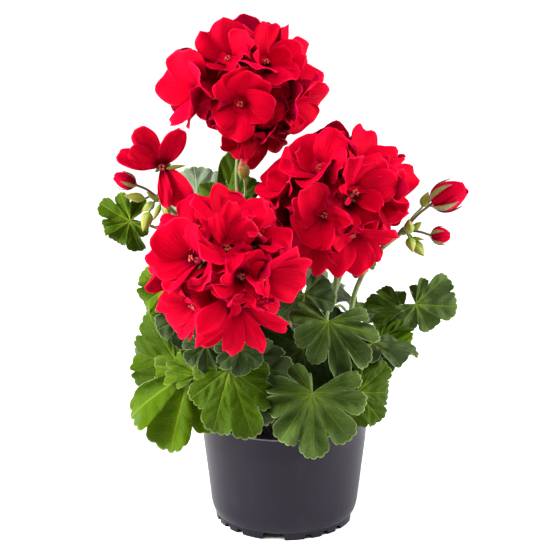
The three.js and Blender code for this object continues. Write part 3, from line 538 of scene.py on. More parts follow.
def shell(middle, thickness, marks=None):
    """A thin closed blade on a grid of middle points (rows out from its root, columns across it): each face
    is half the thickness away along the grid's normal, and a strip joins them all round the edge. The mark
    under is 1 on the lower face."""
    rows, columns = middle.shape[:2]
    normal = unit(np.cross(np.gradient(middle, axis=0), np.gradient(middle, axis=1)))
    half = normal * (np.broadcast_to(thickness, (rows, columns)) / 2)[..., None]
    index = np.arange(rows * columns).reshape(rows, columns)
    face = np.stack([index[:-1, :-1], index[1:, :-1], index[1:, 1:], index[:-1, 1:]], axis=2).reshape(-1, 4)
    border = np.concatenate([index[:-1, 0], index[-1, :-1], index[:0:-1, -1], index[0, :0:-1]])
    onward, below = np.roll(border, -1), rows * columns
    edge = np.stack([onward, border, border + below, onward + below], axis=1)
    part = {
        "points": np.concatenate([(middle + half).reshape(-1, 3), (middle - half).reshape(-1, 3)]),
        "quads": np.concatenate([face, face[:, ::-1] + below, edge]),
        "tris": np.zeros((0, 3), int),
        "marks": {"under": np.repeat([0.0, 1.0], below)},
    }
    for name, values in (marks or {}).items():
        part["marks"][name] = np.tile(np.broadcast_to(values, (rows, columns)).reshape(-1), 2)
    return part


def leaf_frame(junction, facing, tip):
    """The junction, the way the upper side looks, the way of the tip square to it, and the way across."""
    facing, tip = unit(facing), np.asarray(tip, float)
    tip = unit(tip - (tip @ facing) * facing)
    return np.asarray(junction, float), facing, tip, np.cross(facing, tip)


def lobe_layout(lobes, place, lobe, open_angle):
    """The turn from the tip and the length at each place round the blade, counted in lobes from one side of
    its sinus to the other: clefts lie half way between the turns of two lobes, and there the shorter lobe's
    length holds."""
    if isinstance(lobes, int):
        angle = (2 * place / lobes - 1) * open_angle
        return angle, 0.94 + 0.06 * np.cos(angle)
    turns, lengths = np.radians([turn for turn, _ in lobes]), np.array([length for _, length in lobes])
    middles = (turns[1:] + turns[:-1]) / 2
    ends = 2 * turns[[0, -1]] - middles[[0, -1]]
    clefts = np.concatenate([ends[:1], middles, ends[1:]])
    knots = np.arange(2 * len(lobes) + 1) / 2
    values = np.empty(len(knots))
    values[0::2], values[1::2] = clefts, turns
    lows = np.concatenate([lengths[:1], np.minimum(lengths[1:], lengths[:-1]), lengths[-1:]])
    own = lengths[np.minimum(place.astype(int), len(lobes) - 1)]
    low = lows[np.rint(place).astype(int)]
    return np.interp(place, knots, values), low + (own - low) * lobe**0.6


def leaf_blade(frame, radius, lobes, shape, seed, fresh):
    """A rounded blade in polar form. Its radius dips to a narrow cleft between lobes and a little between the
    round teeth of each, and the blade's two ends at the sinus are rounded. Its height is a cup, a pleat, a
    nod and a twist of each lobe, all three as large as the ripple, a slow wave round it, a fold along the
    middle, a droop towards the tip and a rim that turns down, with a groove along each main vein and the leaf
    swollen between side veins."""
    junction, facing, tip, side = frame
    depth, cup, ripple, wave, fold, droop, breadth, sinus = shape
    count = lobes if isinstance(lobes, int) else len(lobes)
    share = np.linspace(0.004, 1, LEAF_ROWS)[:, None] ** 0.85
    lobe_place = np.linspace(0, count, LOBE_COLUMNS * count + 1)[None, :]
    own = np.floor(np.clip(lobe_place, 0, count - 0.001))
    lobe = np.abs(np.sin(np.pi * lobe_place))
    tooth = np.abs(np.sin(LOBE_TEETH * np.pi * lobe_place)) ** 0.6
    open_angle = np.pi - sinus
    angle, outline = lobe_layout(lobes, lobe_place, lobe, open_angle)
    ends = np.exp(-lobe_place / 0.15) + np.exp(-(count - lobe_place) / 0.15)
    cleft = depth * (1.25 * np.exp(-lobe / 0.14) + 0.45 * (1 - lobe) ** 1.5)
    cleft = cleft * (1.2 + 0.6 * np.sin(1.9 * angle + seed))
    cut = 1 - (cleft + 0.3 * ends) * share**2 - 0.034 * (1 - tooth) * share**7
    reach = radius * share * outline * cut
    along, across = reach * np.cos(angle), breadth * reach * np.sin(angle)
    off_vein = np.abs(lobe_place % 1 - 0.5)
    vein = reach * np.sin(2 * open_angle / count * off_vein)
    pleat = 2.2 * ripple * share**1.4 * (1 - 2 * lobe**0.9) * (0.8 + 0.4 * np.sin(1.3 * angle + 2 * seed))
    nod = 7.6 * ripple * share**1.7 * lobe**0.8 * (draw(seed + 5 * own) - 0.5)
    twist = 6.4 * ripple * share**1.7 * np.sin(2 * np.pi * lobe_place) * (draw(seed + 7 * own + 2) - 0.5)
    sway = 2.2 * wave * share**2 * np.sin(3 * angle + 6.283 * draw(seed))
    flutter = 0.05 * share**4 * np.sin(11 * angle + 6.283 * draw(seed + 1)) - 0.14 * share**5 * lobe
    swell = np.sin((reach - 1.1 * vein) * 2 * np.pi / SIDE_VEIN_STEP)
    swell = swell * np.clip(vein / 3, 0, 1) * np.sin(np.pi * share) ** 0.5
    groove = -0.8 * np.exp(-(vein / 1.3) ** 2) * (1 - 0.6 * share) * np.clip(8 * share, 0, 1)
    rise = (radius * (cup * share**2 + pleat + nod + twist + sway + flutter) + fold * np.abs(across)
            - droop * np.maximum(0, along) ** 2 / radius + 0.9 * swell + groove)
    middle = placed(junction, (along, tip), (across, side), (rise, facing))
    marks = {"vein": vein, "reach": reach, "lobe": lobe_place, "edge": share, "fresh": fresh}
    return shell(middle, LEAF_THICKNESS * (1 - 0.5 * share**4), marks)


def petiole(frame, seat):
    """A thin stalk from the stem that swings out and up, and meets the blade from underneath."""
    junction, facing, tip, side = frame
    under = junction - 9 * facing
    middle = seat + 0.55 * (under - seat) + np.array([0, 0, 5])
    path = curve_through([seat, middle, under, junction], PETIOLE_STEPS)
    place = np.linspace(0, 1, PETIOLE_STEPS)
    return tube(path, PETIOLE_RADIUS * (1 - 0.2 * place + 0.5 * (1 - place) ** 6), 8)


def stipule(seat, towards, seed):
    """A small pointed papery scale at the foot of a petiole: half as wide as long, cupped round the stem."""
    along, across = blade_grid(7, 5)
    out = unit([towards[0], towards[1], 0])
    side = np.cross([0, 0, 1], out)
    turn = np.sign(draw(seed) - 0.5) * (0.6 + 0.4 * draw(seed + 1))
    out, side = out * np.cos(turn) + side * np.sin(turn), side * np.cos(turn) - out * np.sin(turn)
    width = 2.2 * np.sqrt(1 - along) * (0.4 + 0.6 * along ** 0.5)
    stand_off = 0.6 + 2.6 * along**2 - 0.8 * across**2
    height = STIPULE_LENGTH * along - 1.5 + 0 * across
    middle = placed(seat + out * STEM_RADIUS * 0.85, (stand_off, out), (width * across, side),
                    (height, np.array([0, 0, 1])))
    return shell(middle, STIPULE_THICKNESS)


stem_finish, tree, shader = new_finish("stem_green", STEM_GREEN, 0.55, Specular_IOR_Level=0.4,
                                       Sheen_Weight=0.25, Sheen_Roughness=0.4, Sheen_Tint=(0.8, 0.9, 0.6, 1))
place = object_place(tree)
height = put(tree, "SeparateXYZ", {0: place}).outputs["Z"]
blotch = noise(tree, place, 120, 4)
woody = times(tree, ramp(tree, height, 0.115, 0.07), ramp(tree, blotch, 0.35, 0.65))
green = mixed(tree, ramp(tree, blotch, 0.3, 0.8), STEM_GREEN, STEM_LIGHT)
paint(tree, shader, mixed(tree, woody, green, STEM_BROWN))
bump(tree, shader, noise(tree, place, 1400), 0.0003)

leaf_finish, tree, shader = new_finish("leaf_green", LEAF_GROWN_AND_SHEEN, 0.40, Specular_IOR_Level=0.02)
place = object_place(tree)
vein, reach, lobe, edge, fresh, under = (
    mark(tree, name) for name in ("vein", "reach", "lobe", "edge", "fresh", "under"))
left_half = sums(tree, "GREATER_THAN", sums(tree, "FRACT", lobe), 0.5)
slanted = times(tree, sums(tree, "SUBTRACT", reach, times(tree, vein, 1.15)), 1 / SIDE_VEIN_STEP)
wander = times(tree, noise(tree, place, 90), 0.5)
side_phase = plus(tree, plus(tree, slanted, times(tree, left_half, 0.45)), wander)
off_side = sums(tree, "ABSOLUTE", sums(tree, "SUBTRACT", sums(tree, "FRACT", side_phase), 0.5))
main_vein = ramp(tree, plus(tree, vein, times(tree, edge, 0.5)), 1.2, 0.35)
side_vein = times(tree, ramp(tree, off_side, 0.055, 0.012), ramp(tree, edge, 1.0, 0.85))
net = put(tree, "TexVoronoi", {"Vector": place, "Scale": 520}, feature="DISTANCE_TO_EDGE").outputs["Distance"]
net_line = ramp(tree, net, 0.12, 0.02)
blotch = sums(tree, "SUBTRACT", noise(tree, place, 55, 4), 0.5)
# Each leaf's green mark, mottled by clouds, gives its own tone and painted light and shade. Below 0 the
# colour goes towards LEAF_SHADE: painted shade for a leaf inside the plant.
mottled_green_light_shade = plus(tree, fresh, times(tree, blotch, 0.7))
shaded = put(tree, "Clamp", {0: times(tree, mottled_green_light_shade, -1.0)}).outputs[0]
upper = mixed(tree, put(tree, "Clamp", {0: mottled_green_light_shade}).outputs[0], LEAF_GROWN_AND_SHEEN, LEAF_FRESH)
upper = mixed(tree, shaded, upper, LEAF_SHADE)
upper = mixed(tree, ramp(tree, mottled_green_light_shade, 1.0, 2.0), upper, LEAF_ZONE)
heart = ramp(tree, edge, 0.42, 0.05)
ring = times(tree, ramp(tree, edge, 0.25, 0.5), ramp(tree, edge, 0.95, 0.6))
# Zone, veins and net fade where the leaf is in painted shade, so that it is evenly dark.
lit = sums(tree, "SUBTRACT", 1.0, times(tree, shaded, 0.75))
upper = mixed(tree, times(tree, ring, times(tree, lit, 0.25)), upper, LEAF_ZONE)
for pattern, strength in ((net_line, 0.10), (side_vein, 0.16), (heart, 0.3), (main_vein, 0.33)):
    upper = mixed(tree, times(tree, pattern, times(tree, lit, strength)), upper, LEAF_VEIN)
any_vein = sums(tree, "MAXIMUM", main_vein, side_vein)
lower = mixed(tree, times(tree, any_vein, 0.5), LEAF_UNDER, LEAF_UNDER_VEIN)
rim = times(tree, ramp(tree, edge, 0.97, 1.0), 0.6)
paint(tree, shader, mixed(tree, rim, mixed(tree, under, upper, lower), LEAF_HAIR))
relief = plus(tree, times(tree, noise(tree, place, 1600), 0.35), times(tree, net, 0.7))
bump(tree, shader, sums(tree, "SUBTRACT", relief, times(tree, any_vein, 0.8)), 0.0005)

stipule_finish, tree, shader = new_finish("stipule_tan", STIPULE_TAN, 0.7)
paint(tree, shader, mixed(tree, noise(tree, object_place(tree), 700, 3), STIPULE_TAN, STIPULE_GREEN))

for stem, points in STEM_LINES.items():
    stem_path = curve_through(points, STEM_STEPS)
    growth = np.linspace(0, 1, STEM_STEPS)
    knots = 0.35 * np.sin(growth * 2 * np.pi * 7) ** 8
    green_parts = [tube(stem_path, STEM_RADIUS * (1 - 0.12 * growth) + knots, 20, ribs=0.02)]
    if stem in FLOWER_STALKS:
        green_parts.append(tube(curve_through(FLOWER_STALKS[stem], 30), STALK_RADIUS, 12))
    blades, stipules = [], []
    for i, (junction, facing, tip, radius, lobes, foot, fresh, shape) in enumerate(LEAVES[stem]):
        seed = i + 20 * len(stem)
        leaf = leaf_frame(junction, facing, tip)
        seat = np.array([np.interp(foot, stem_path[:, 2], stem_path[:, k]) for k in range(3)])
        blades.append(leaf_blade(leaf, radius, lobes, shape, seed, fresh))
        green_parts.append(petiole(leaf, seat))
        stipules += [{**stipule(seat, leaf[0] - seat, seed * 2 + k), "finish": 1} for k in (0, 1)]
    stalks = mesh_object("stalks_" + stem, green_parts + stipules, [stem_finish, stipule_finish])
    leaves = mesh_object("leaves_" + stem, blades, [leaf_finish])
    for piece in (stalks, leaves):
        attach(piece, "root")
        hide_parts("leafy_stem_" + stem)

# Flower heads. Each head is a ball of florets on thin green pedicels that spread from the end of the flower
# stalk. A floret has broad red petals that open out of a funnel, a green calyx behind them, and stamens in
# its eye. The florets overlap like shingles, and where two heads meet their petals bend back.
FLORET_RADIUS = 39.0
DEEPER_FLORETS = 18
DEEPER_BY = 7
DEEPER_WHORL = (5, 27, 24, 8)
OUTER_GRID = (19, 15)
DEEPER_GRID = (10, 9)
PETAL_THICKNESS = 0.35
PETAL_RISE = 66.0
PETAL_ROOT = 2.4
PETAL_BASE = -9.0
PETAL_SHOULDER = 0.62
CALYX_THICKNESS = 0.4
PEDICEL_RADIUS = 0.9
STAMENS = 7
SHINGLE_GAP = 1.6
HEAD_CLEARANCE = 1.1
BEND_DEPTH = 12.0
PETAL_RED = (0.36, 0.0, 0.010, 1)
PETAL_DEEP = (0.23, 0.0, 0.010, 1)
PETAL_EYE = (0.16, 0.0, 0.008, 1)
# A pink-white line painted on petal rims: a painted highlight.
PETAL_RIM_HIGHLIGHT = (0.56, 0.012, 0.055, 1)
PETAL_BACK = (0.28, 0.001, 0.026, 1)
CALYX_GREEN = (0.13, 0.19, 0.04, 1)
CALYX_RED = (0.12, 0.025, 0.015, 1)
PEDICEL_BROWN = (0.10, 0.035, 0.025, 1)
STAMEN_PINK = (0.34, 0.008, 0.035, 1)
ANTHER_ORANGE = (0.34, 0.05, 0.02, 1)

# A head is a ball of florets round its centre. Its pedicels start at the hub, and bare is a way, as azimuth
# and elevation, and the angle round it where no deeper floret grows. A whorl is: azimuth (0 to the front, 90
# to the right), elevation, spin, petals, length, width, end angle. The florets that face the viewer are given
# petal by petal, as azimuth, elevation, and for each petal its turn (0 to the right, 90 up), length, width
# and end angle. The first floret of a head lies uppermost.
HEADS = {
    "top": {
        "centre": (-30, 28, 310), "hub": (-31, 27, 284), "bare": (-55, -50, 50),
        "florets": [
            (-1, 2, [(62, 31, 29, 12), (112, 31, 29, 14), (-6, 27, 25, 0), (262, 29, 28, -12),
                     (208, 23, 22, -4)]),
            (-58, 10, 34, 5, 35, 29, 14),
            (-24, 52, [(100, 32, 24, 30), (150, 30, 24, 20), (40, 28, 22, 40), (220, 20, 22, 20),
                       (300, 20, 22, 20)]),
            (40, 46, 60, 7, 32, 25, 16), (66, -6, 15, 7, 35, 27, 24), (38, -46, 40, 8, 30, 17, 5),
            (4, -44, 40, 7, 22, 15, 10), (82, 30, 10, 5, 33, 26, 15), (125, 0, 0, 5, 32, 27, 0),
            (180, -8, 30, 5, 32, 27, 0), (-122, 8, 50, 5, 32, 27, 0), (170, 46, 0, 5, 32, 27, 5),
        ],
    },
    "right": {
        "centre": (35, -8, 242), "hub": (35, -7, 215), "bare": (100, -50, 35),
        "florets": [
            (-12, -1, [(214, 32, 28, -4), (164, 32, 21, 14), (118, 30, 24, 22), (0, 25, 15, 20),
                       (262, 28, 18, 10)]),
            (22, 22, [(4, 32, 23, -2), (52, 34, 22, 12), (92, 32, 22, 24), (148, 22, 16, 48),
                      (188, 18, 15, 50), (318, 24, 14, 20)]),
            (20, -26, [(282, 34, 27, -8), (312, 34, 22, -16), (236, 34, 22, -12), (12, 34, 19, -2),
                       (196, 20, 15, 30), (90, 16, 14, 50)]),
            (-28, 50, 70, 7, 32, 25, 18), (-66, 26, 10, 6, 33, 26, 20), (60, 56, 40, 7, 31, 25, 5),
            (76, 14, [(0, 36, 26, 36), (72, 36, 26, 36), (144, 34, 26, 36), (216, 26, 24, 36),
                      (288, 26, 24, 36), (40, 26, 18, 60)]),
            (-36, -44, 30, 5, 29, 23, 0), (-84, -6, 0, 5, 30, 24, 5),
            (135, -10, 50, 5, 32, 27, 0), (-170, 4, 0, 5, 32, 27, 0), (170, 55, 0, 5, 32, 27, 5),
        ],
    },
    "left": {
        "centre": (-41, -64, 209), "hub": (-41, -62, 182), "bare": (150, -60, 30),
        "florets": [
            (14, -22, [(233, 43, 14, -22), (265, 45, 14, -26), (302, 43, 14, -20), (334, 43, 14, -12),
                       (200, 38, 20, 0), (98, 19, 14, 40), (20, 24, 15, 45)]),
            (6, 38, [(118, 33, 12, 40), (84, 34, 14, 26), (36, 30, 17, 22), (190, 24, 27, 10),
                     (264, 22, 22, 12)]),
            (-38, 24, [(138, 33, 30, 4), (182, 33, 21, -4), (214, 30, 19, 8), (258, 30, 18, 2),
                       (60, 30, 26, 20)]),
            (46, 2, [(34, 35, 27, 0), (336, 33, 22, -6), (356, 38, 24, -14), (112, 24, 16, 46),
                     (190, 26, 15, 40), (235, 20, 14, 50)]),
            (20, 8, 0, 5, 25, 22, 20),
            (-40, -30, [(228, 33, 21, -8), (250, 33, 13, -4), (190, 30, 22, -2), (150, 26, 20, 10)]),
            (14, 74, 0, 7, 31, 25, 10), (64, 46, 30, 6, 28, 20, 20), (-60, 58, 0, 7, 31, 26, 5),
            (-92, 14, 0, 5, 31, 23, 0), (170, 4, 0, 5, 31, 26, 5), (-142, 2, 20, 5, 32, 26, 0),
            (150, 52, 0, 5, 31, 25, 5),
        ],
    },
}


def petal_centre(along, petal):
    """The petal's mid line in the floret's plane: it leaves the axis at the angle rise and bends evenly to
    the angle end, so out and up are the sine and cosine steps of an arc of the petal's length."""
    start = np.radians(petal["rise"])
    bend = np.radians(petal["end"] - petal["rise"])
    angle = start + bend * along
    out = petal["root"] + petal["length"] * (np.sin(angle) - np.sin(start)) / bend
    up = petal["base"] + petal["length"] * (np.cos(start) - np.cos(angle)) / bend
    return out, up, angle


def petal_grid(petal, floret, rows, columns):
    """Middle points of a petal, in rows out from its claw and columns across it. The half width grows by a
    sine up to the shoulder, a share of the length, and from there the outline is half a superellipse, with a
    shallow notch and small scallops at its top. The height across it is a cup, a tilt, a slow wave, a ruffle
    that grows to the rim, soft folds that run out from the claw and a crease along the middle."""
    facing, right, top, origin = floret
    share = np.linspace(0, 1, rows)[:, None] ** 0.8
    across = np.sin(np.linspace(-1, 1, columns) * np.pi / 2)[None, :]
    phase = petal["phase"]
    notch = 0.03 * np.exp(-((across - 0.15 * np.sin(phase)) / 0.16) ** 2)
    arch = PETAL_SHOULDER + (1 - PETAL_SHOULDER) * np.sqrt(1 - np.abs(across) ** 2.3)
    along = share * (arch - notch + 0.016 * np.sin(9 * across + phase))
    widening = np.sin(np.pi / 2 * np.clip(along / PETAL_SHOULDER, 0, 1)) ** 1.15
    half = 0.5 * petal["width"] * (0.24 + 0.76 * widening)
    out, up, angle = petal_centre(along, petal)
    ray = right * np.cos(petal["turn"]) + top * np.sin(petal["turn"])
    side = np.cross(facing, ray)
    normal = facing * np.cos(angle)[..., None] - ray * np.sin(angle)[..., None]
    rim = np.maximum(share**3, np.abs(across) ** 3 * share)
    folds = np.sin(np.pi * share**0.7) * np.sin(8 * across + 2 * np.sin(4 * share + phase) + phase)
    lift = (petal["cup"] * across**2 * half + petal["tilt"] * across * half
            + petal["wave"] * share**2 * np.sin(3 * across + phase)
            + petal["ruffle"] * rim * np.sin(5.5 * across + 4 * share + 2 * phase)
            + 0.3 * petal["ruffle"] * folds
            - 0.5 * np.exp(-(across / 0.16) ** 2) * np.sin(np.pi * share))
    middle = placed(origin, (out, ray), (up, facing), (half * across, side), (lift, normal))
    return middle, share, across


def floret_frame(centre, azimuth, elevation, spin, reach):
    """The way a floret faces, its right and its top after a spin about that way, and its origin."""
    a, e, s = np.radians([azimuth, elevation, spin])
    facing = np.array([np.sin(a) * np.cos(e), -np.cos(a) * np.cos(e), np.sin(e)])
    right = np.array([np.cos(a), np.sin(a), 0])
    top = np.cross(facing, right)
    right, top = right * np.cos(s) + top * np.sin(s), top * np.cos(s) - right * np.sin(s)
    return facing, right, top, centre + reach * facing


def whorl(spin, count, length, width, end):
    """Petals as turn, length, width, end: up to five outer ones at even turns, then small upright ones."""
    outer = min(5, count)
    petals = [(spin + 360 * i / outer, length, width, end) for i in range(outer)]
    inner = count - outer
    small = (0.72 * length, 0.7 * width, end + 30)
    return petals + [(spin + 360 * (i + 0.5) / inner, *small) for i in range(inner)]


def grown(petals, seed):
    """The petals of one floret as full descriptions, each a little different from its neighbours."""
    made = []
    for i, (turn, length, width, end) in enumerate(petals):
        own = seed * 17 + i * 3
        made.append({
            "turn": np.radians(turn) + 0.2 * (draw(own) - 0.5),
            "length": length * (0.96 + 0.08 * draw(own + 1)), "width": width * (0.96 + 0.12 * draw(own + 2)),
            "rise": PETAL_RISE - 4 + 8 * draw(own + 4),
            "end": end + 12 * (draw(own + 5) - 0.5), "root": PETAL_ROOT, "base": PETAL_BASE,
            "cup": -0.08 + 0.55 * (draw(own + 6) - 0.5), "tilt": 0.30 + 0.1 * draw(own + 7),
            "wave": 1.8, "ruffle": 1.7, "phase": 6.283 * draw(own + 8), "tone": draw(own + 9),
        })
    return made


def under_earlier(points, centre, earlier):
    """Draws points in towards the head's centre where they would lie over a floret placed before: each
    floret's petals reach out to a known distance at each angle from its axis, which grows steeply past their
    tips, and the smallest of these, softly, is the limit."""
    softness, steepness = 0.7, 60
    away = points - centre
    distance = np.linalg.norm(away, axis=-1)
    limits = [distance]
    for facing, angles, reaches in earlier:
        angle = np.arccos(np.clip(away @ facing / distance, -1, 1))
        limit = np.interp(angle, angles, reaches) + steepness * np.maximum(0, angle - angles[-1])
        limits.append(limit - SHINGLE_GAP)
    nearest = np.min(limits, axis=0)
    allowed = nearest - softness * np.log(np.sum(np.exp((nearest - np.array(limits)) / softness), axis=0))
    return centre + away * (allowed / distance)[..., None]


def clear_of_heads(points, name):
    """Bends points back from the planes half way to the other heads, by a curve that never reaches them."""
    centre = np.array(HEADS[name]["centre"], float)
    for other, head in HEADS.items():
        if other == name:
            continue
        gap = np.array(head["centre"]) - centre
        towards, room = unit(gap), BEND_DEPTH - HEAD_CLEARANCE
        past = np.maximum(0, (points - centre - gap / 2) @ towards + BEND_DEPTH)
        points = points + (room * (1 - np.exp(-past / room)) - past)[..., None] * towards
    return points


def calyx(base, facing, right, top, seed):
    """Five narrow pointed sepals that spread from the pedicel's end and curve back."""
    along, across = blade_grid(7, 3)
    parts = []
    for i in range(5):
        turn = 2 * np.pi * i / 5 + 0.3 * draw(seed + i)
        ray = right * np.cos(turn) + top * np.sin(turn)
        side = np.cross(facing, ray)
        width = 1.5 * np.sin(np.pi * np.clip(0.12 + 0.86 * along, 0, 1)) ** 0.8
        out = 1.0 + 5.5 * along + 0 * across
        up = 5.5 * np.sin(1.3 * along) - 0.5 * across**2 * width
        parts.append(shell(placed(base, (out, ray), (up, facing), (width * across, side)), CALYX_THICKNESS))
    return parts


def floret_eye(floret, seed):
    """Curved stamens with small anthers, round a style that splits into five short curled ends, on a low red
    cone that fills the throat between the petals' claws."""
    facing, right, top, origin = floret
    base = origin + (PETAL_BASE + 1.5) * facing
    throat = base + np.array([-2.5, -1.5, 0.0, 1.2])[:, None] * facing
    parts = [{**tube(throat, np.array([2.4, 3.2, 2.6, 0.9]), 10), "finish": 0}]
    for i in range(STAMENS + 5):
        style = i >= STAMENS
        turn = 2 * np.pi * (i / 5 if style else i / STAMENS) + 0.8 * draw(seed + i)
        ray = right * np.cos(turn) + top * np.sin(turn)
        length = 7.5 if style else 5.5 + 2.0 * draw(seed + i + 30)
        step = np.linspace(0, 1, 6)[:, None]
        spread = (0.3 + 1.1 * step**4) if style else (0.5 + 1.1 * step**2)
        path = base + facing * length * step + ray * spread
        parts.append({**tube(path, 0.28 if style else 0.32, 4), "finish": 0})
        if not style:
            anther = tube(path[-1] + np.linspace(-0.9, 0.9, 5)[:, None] * ray + facing * 0.2,
                          np.array([0.2, 0.5, 0.6, 0.5, 0.2]), 5)
            parts.append({**anther, "finish": 1})
    return parts


def petal_finish(name):
    """Velvet red: deeper at the claw and in the eye and with the petal's tone, fine darker veins that fan out
    with the petal, a painted highlight along the thin rim where its edge catches the light, broken by clouds,
    and a cooler, duller back."""
    finish, tree, shader = new_finish(
        name, PETAL_RED, 0.6, Specular_IOR_Level=0.01, Sheen_Weight=0.22, Sheen_Roughness=0.4,
        Sheen_Tint=(1.0, 0.01, 0.14, 1), Subsurface_Weight=0.15, Subsurface_Radius=(0.004, 0.0006, 0.0006),
        Subsurface_Scale=0.5)
    place = object_place(tree)
    along, across, tone, under = (mark(tree, label) for label in ("along", "across", "tone", "under"))
    fan = plus(tree, times(tree, across, 34.0), times(tree, noise(tree, place, 130, 3), 9.0))
    veins = times(tree, ramp(tree, sums(tree, "SINE", fan), 0.35, 1.0), ramp(tree, along, 1.0, 0.55))
    cloud = noise(tree, place, 45, 3)
    depth = plus(tree, times(tree, tone, 0.22), times(tree, ramp(tree, cloud, 0.4, 0.75), 0.2))
    colour = mixed(tree, depth, PETAL_RED, PETAL_DEEP)
    colour = mixed(tree, times(tree, veins, 0.22), colour, PETAL_DEEP)
    colour = mixed(tree, ramp(tree, along, 0.42, 0.12), colour, PETAL_EYE)
    # Painted highlight: a lighter line along the petal's rim, where the edge catches the light, broken by
    # clouds.
    rim = ramp(tree, sums(tree, "MAXIMUM", along, sums(tree, "ABSOLUTE", across)), 0.93, 1.0)
    broken = times(tree, ramp(tree, cloud, 0.38, 0.62), 0.5)
    colour = mixed(tree, times(tree, rim, broken), colour, PETAL_RIM_HIGHLIGHT)
    back = mixed(tree, times(tree, veins, 0.4), PETAL_BACK, PETAL_DEEP)
    paint(tree, shader, mixed(tree, times(tree, under, 0.75), colour, back))
    cells = noise(tree, place, 2200, 1)
    bump(tree, shader, sums(tree, "SUBTRACT", times(tree, cells, 0.3), times(tree, veins, 0.5)), 0.0002)
    return finish


petal_red = petal_finish("petal_red")
calyx_finish, tree, shader = new_finish("calyx_green", CALYX_GREEN, 0.6, Sheen_Weight=0.3,
                                        Sheen_Roughness=0.4)
place = object_place(tree)
green = mixed(tree, ramp(tree, noise(tree, place, 150, 3), 0.5, 0.75), CALYX_GREEN, CALYX_RED)
paint(tree, shader, mixed(tree, times(tree, mark(tree, "brown"), 0.8), green, PEDICEL_BROWN))
bump(tree, shader, noise(tree, place, 1500), 0.0003)
stamen_finish = new_finish("stamen_pink", STAMEN_PINK, 0.45)[0]
anther_finish = new_finish("anther_orange", ANTHER_ORANGE, 0.6)[0]


def deeper_florets(bare):
    """Smaller florets spread evenly over the ball by the golden angle, from its top down to 50 degrees below
    its middle, but for its bare side. They sit under the outer ones and close the gaps between them."""
    azimuth = 137.5 * np.arange(DEEPER_FLORETS) % 360
    elevation = np.degrees(np.arcsin(np.linspace(0.95, -0.75, DEEPER_FLORETS)))
    a, e, away_a, away_e = np.radians([azimuth, elevation, bare[0] + 0 * azimuth, bare[1] + 0 * azimuth])
    off = np.arccos(np.sin(e) * np.sin(away_e) + np.cos(e) * np.cos(away_e) * np.cos(a - away_a))
    kept = np.flatnonzero(off > np.radians(bare[2]))
    return [(azimuth[k], elevation[k], 47 * k % 72, *DEEPER_WHORL) for k in kept]


for name, head in HEADS.items():
    centre, hub = np.array(head["centre"], float), np.array(head["hub"], float)
    petals, greens, eyes, earlier = [], [], [], []
    for k, (azimuth, elevation, *described) in enumerate(head["florets"] + deeper_florets(head["bare"])):
        outer = k < len(head["florets"])
        floret = floret_frame(centre, azimuth, elevation, 0, FLORET_RADIUS - (0 if outer else DEEPER_BY))
        facing, right, top, origin = floret
        seed = len(name) * 50 + k
        listed = described[0] if len(described) == 1 else whorl(*described)
        for petal in grown(listed, seed):
            middle, share, across = petal_grid(petal, floret, *(OUTER_GRID if outer else DEEPER_GRID))
            middle = clear_of_heads(under_earlier(middle, centre, earlier), name)
            thin = PETAL_THICKNESS * (1.4 - 0.9 * np.maximum(share, np.abs(across) * share))
            petals.append(shell(middle, thin, {"along": share, "across": across, "tone": petal["tone"]}))
        length, end = max(petal[1] for petal in listed), np.mean([petal[3] for petal in listed])
        typical = {"rise": PETAL_RISE, "end": end, "length": length, "root": PETAL_ROOT, "base": PETAL_BASE}
        out, up, _ = petal_centre(np.array([0.3, 0.5, 0.7, 0.85, 1.0]), typical)
        earlier.append((facing, np.arctan2(out, FLORET_RADIUS + up), np.hypot(out, FLORET_RADIUS + up)))
        if outer:
            eyes += floret_eye(floret, seed * 5)
        base = origin + (PETAL_BASE - 4) * facing
        elbow = hub + 0.5 * (base - hub) + 3 * unit(base - centre)
        greens.append(tube(curve_through([hub, elbow, base], 12), PEDICEL_RADIUS, 6))
        greens += calyx(base, facing, right, top, seed)
    bloom = mesh_object("petals_" + name, petals, [petal_red])
    green = mesh_object("pedicels_" + name, greens, [calyx_finish])
    eye = mesh_object("stamens_" + name, eyes, [stamen_finish, anther_finish])
    for piece, slot in ((bloom, "petal_red"), (green, "bud_green"), (eye, "petal_red")):
        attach(piece, "root")
        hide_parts("petals_" + name + "_head")

# Bud sprays. A hairy green stalk ends in a knot from which bowed pedicels carry closed buds: pointed, ribbed
# where their five sepals meet, yellow-green and flushed with red towards the tip.

# A spray is the line of its stalk, its closed buds as base, tip, radius, and the names of its opening ones.
SPRAYS = {
    "left": {
        "line": [(-32, 17, 166), (-48, 10, 194), (-70, 0, 222), (-89, -6, 243)],
        "buds": [
            ((-98, -12, 244), (-112, -18, 248), 3.4), ((-95, -14, 235), (-99, -22, 223), 4.2),
            ((-92, -4, 239), (-101, -2, 232), 3.2), ((-84, -14, 241), (-80, -18, 232), 2.6),
            ((-90, -10, 242), (-97, -14, 250), 1.5), ((-87, -12, 240), (-92, -20, 230), 2.0),
        ],
        "opening": ["opening_bud_left", "young_flower_left"],
    },
    "right": {
        "line": [(21, 1, 120), (36, -7, 130), (45, -10, 150), (51, -7, 176), (64, -4, 200), (84, 0, 217)],
        "buds": [
            ((91, -5, 211), (99, -10, 201), 4.2), ((88, -9, 218), (87, -11, 229), 3.8),
            ((98, 6, 233), (102, 8, 244), 3.6), ((88, -9, 215), (90, -16, 206), 3.6),
            ((91, -3, 219), (97, -4, 225), 2.6), ((90, -6, 214), (99, -9, 213), 1.4),
        ],
        "opening": ["opening_bud_right_large", "opening_bud_right_small"],
    },
}
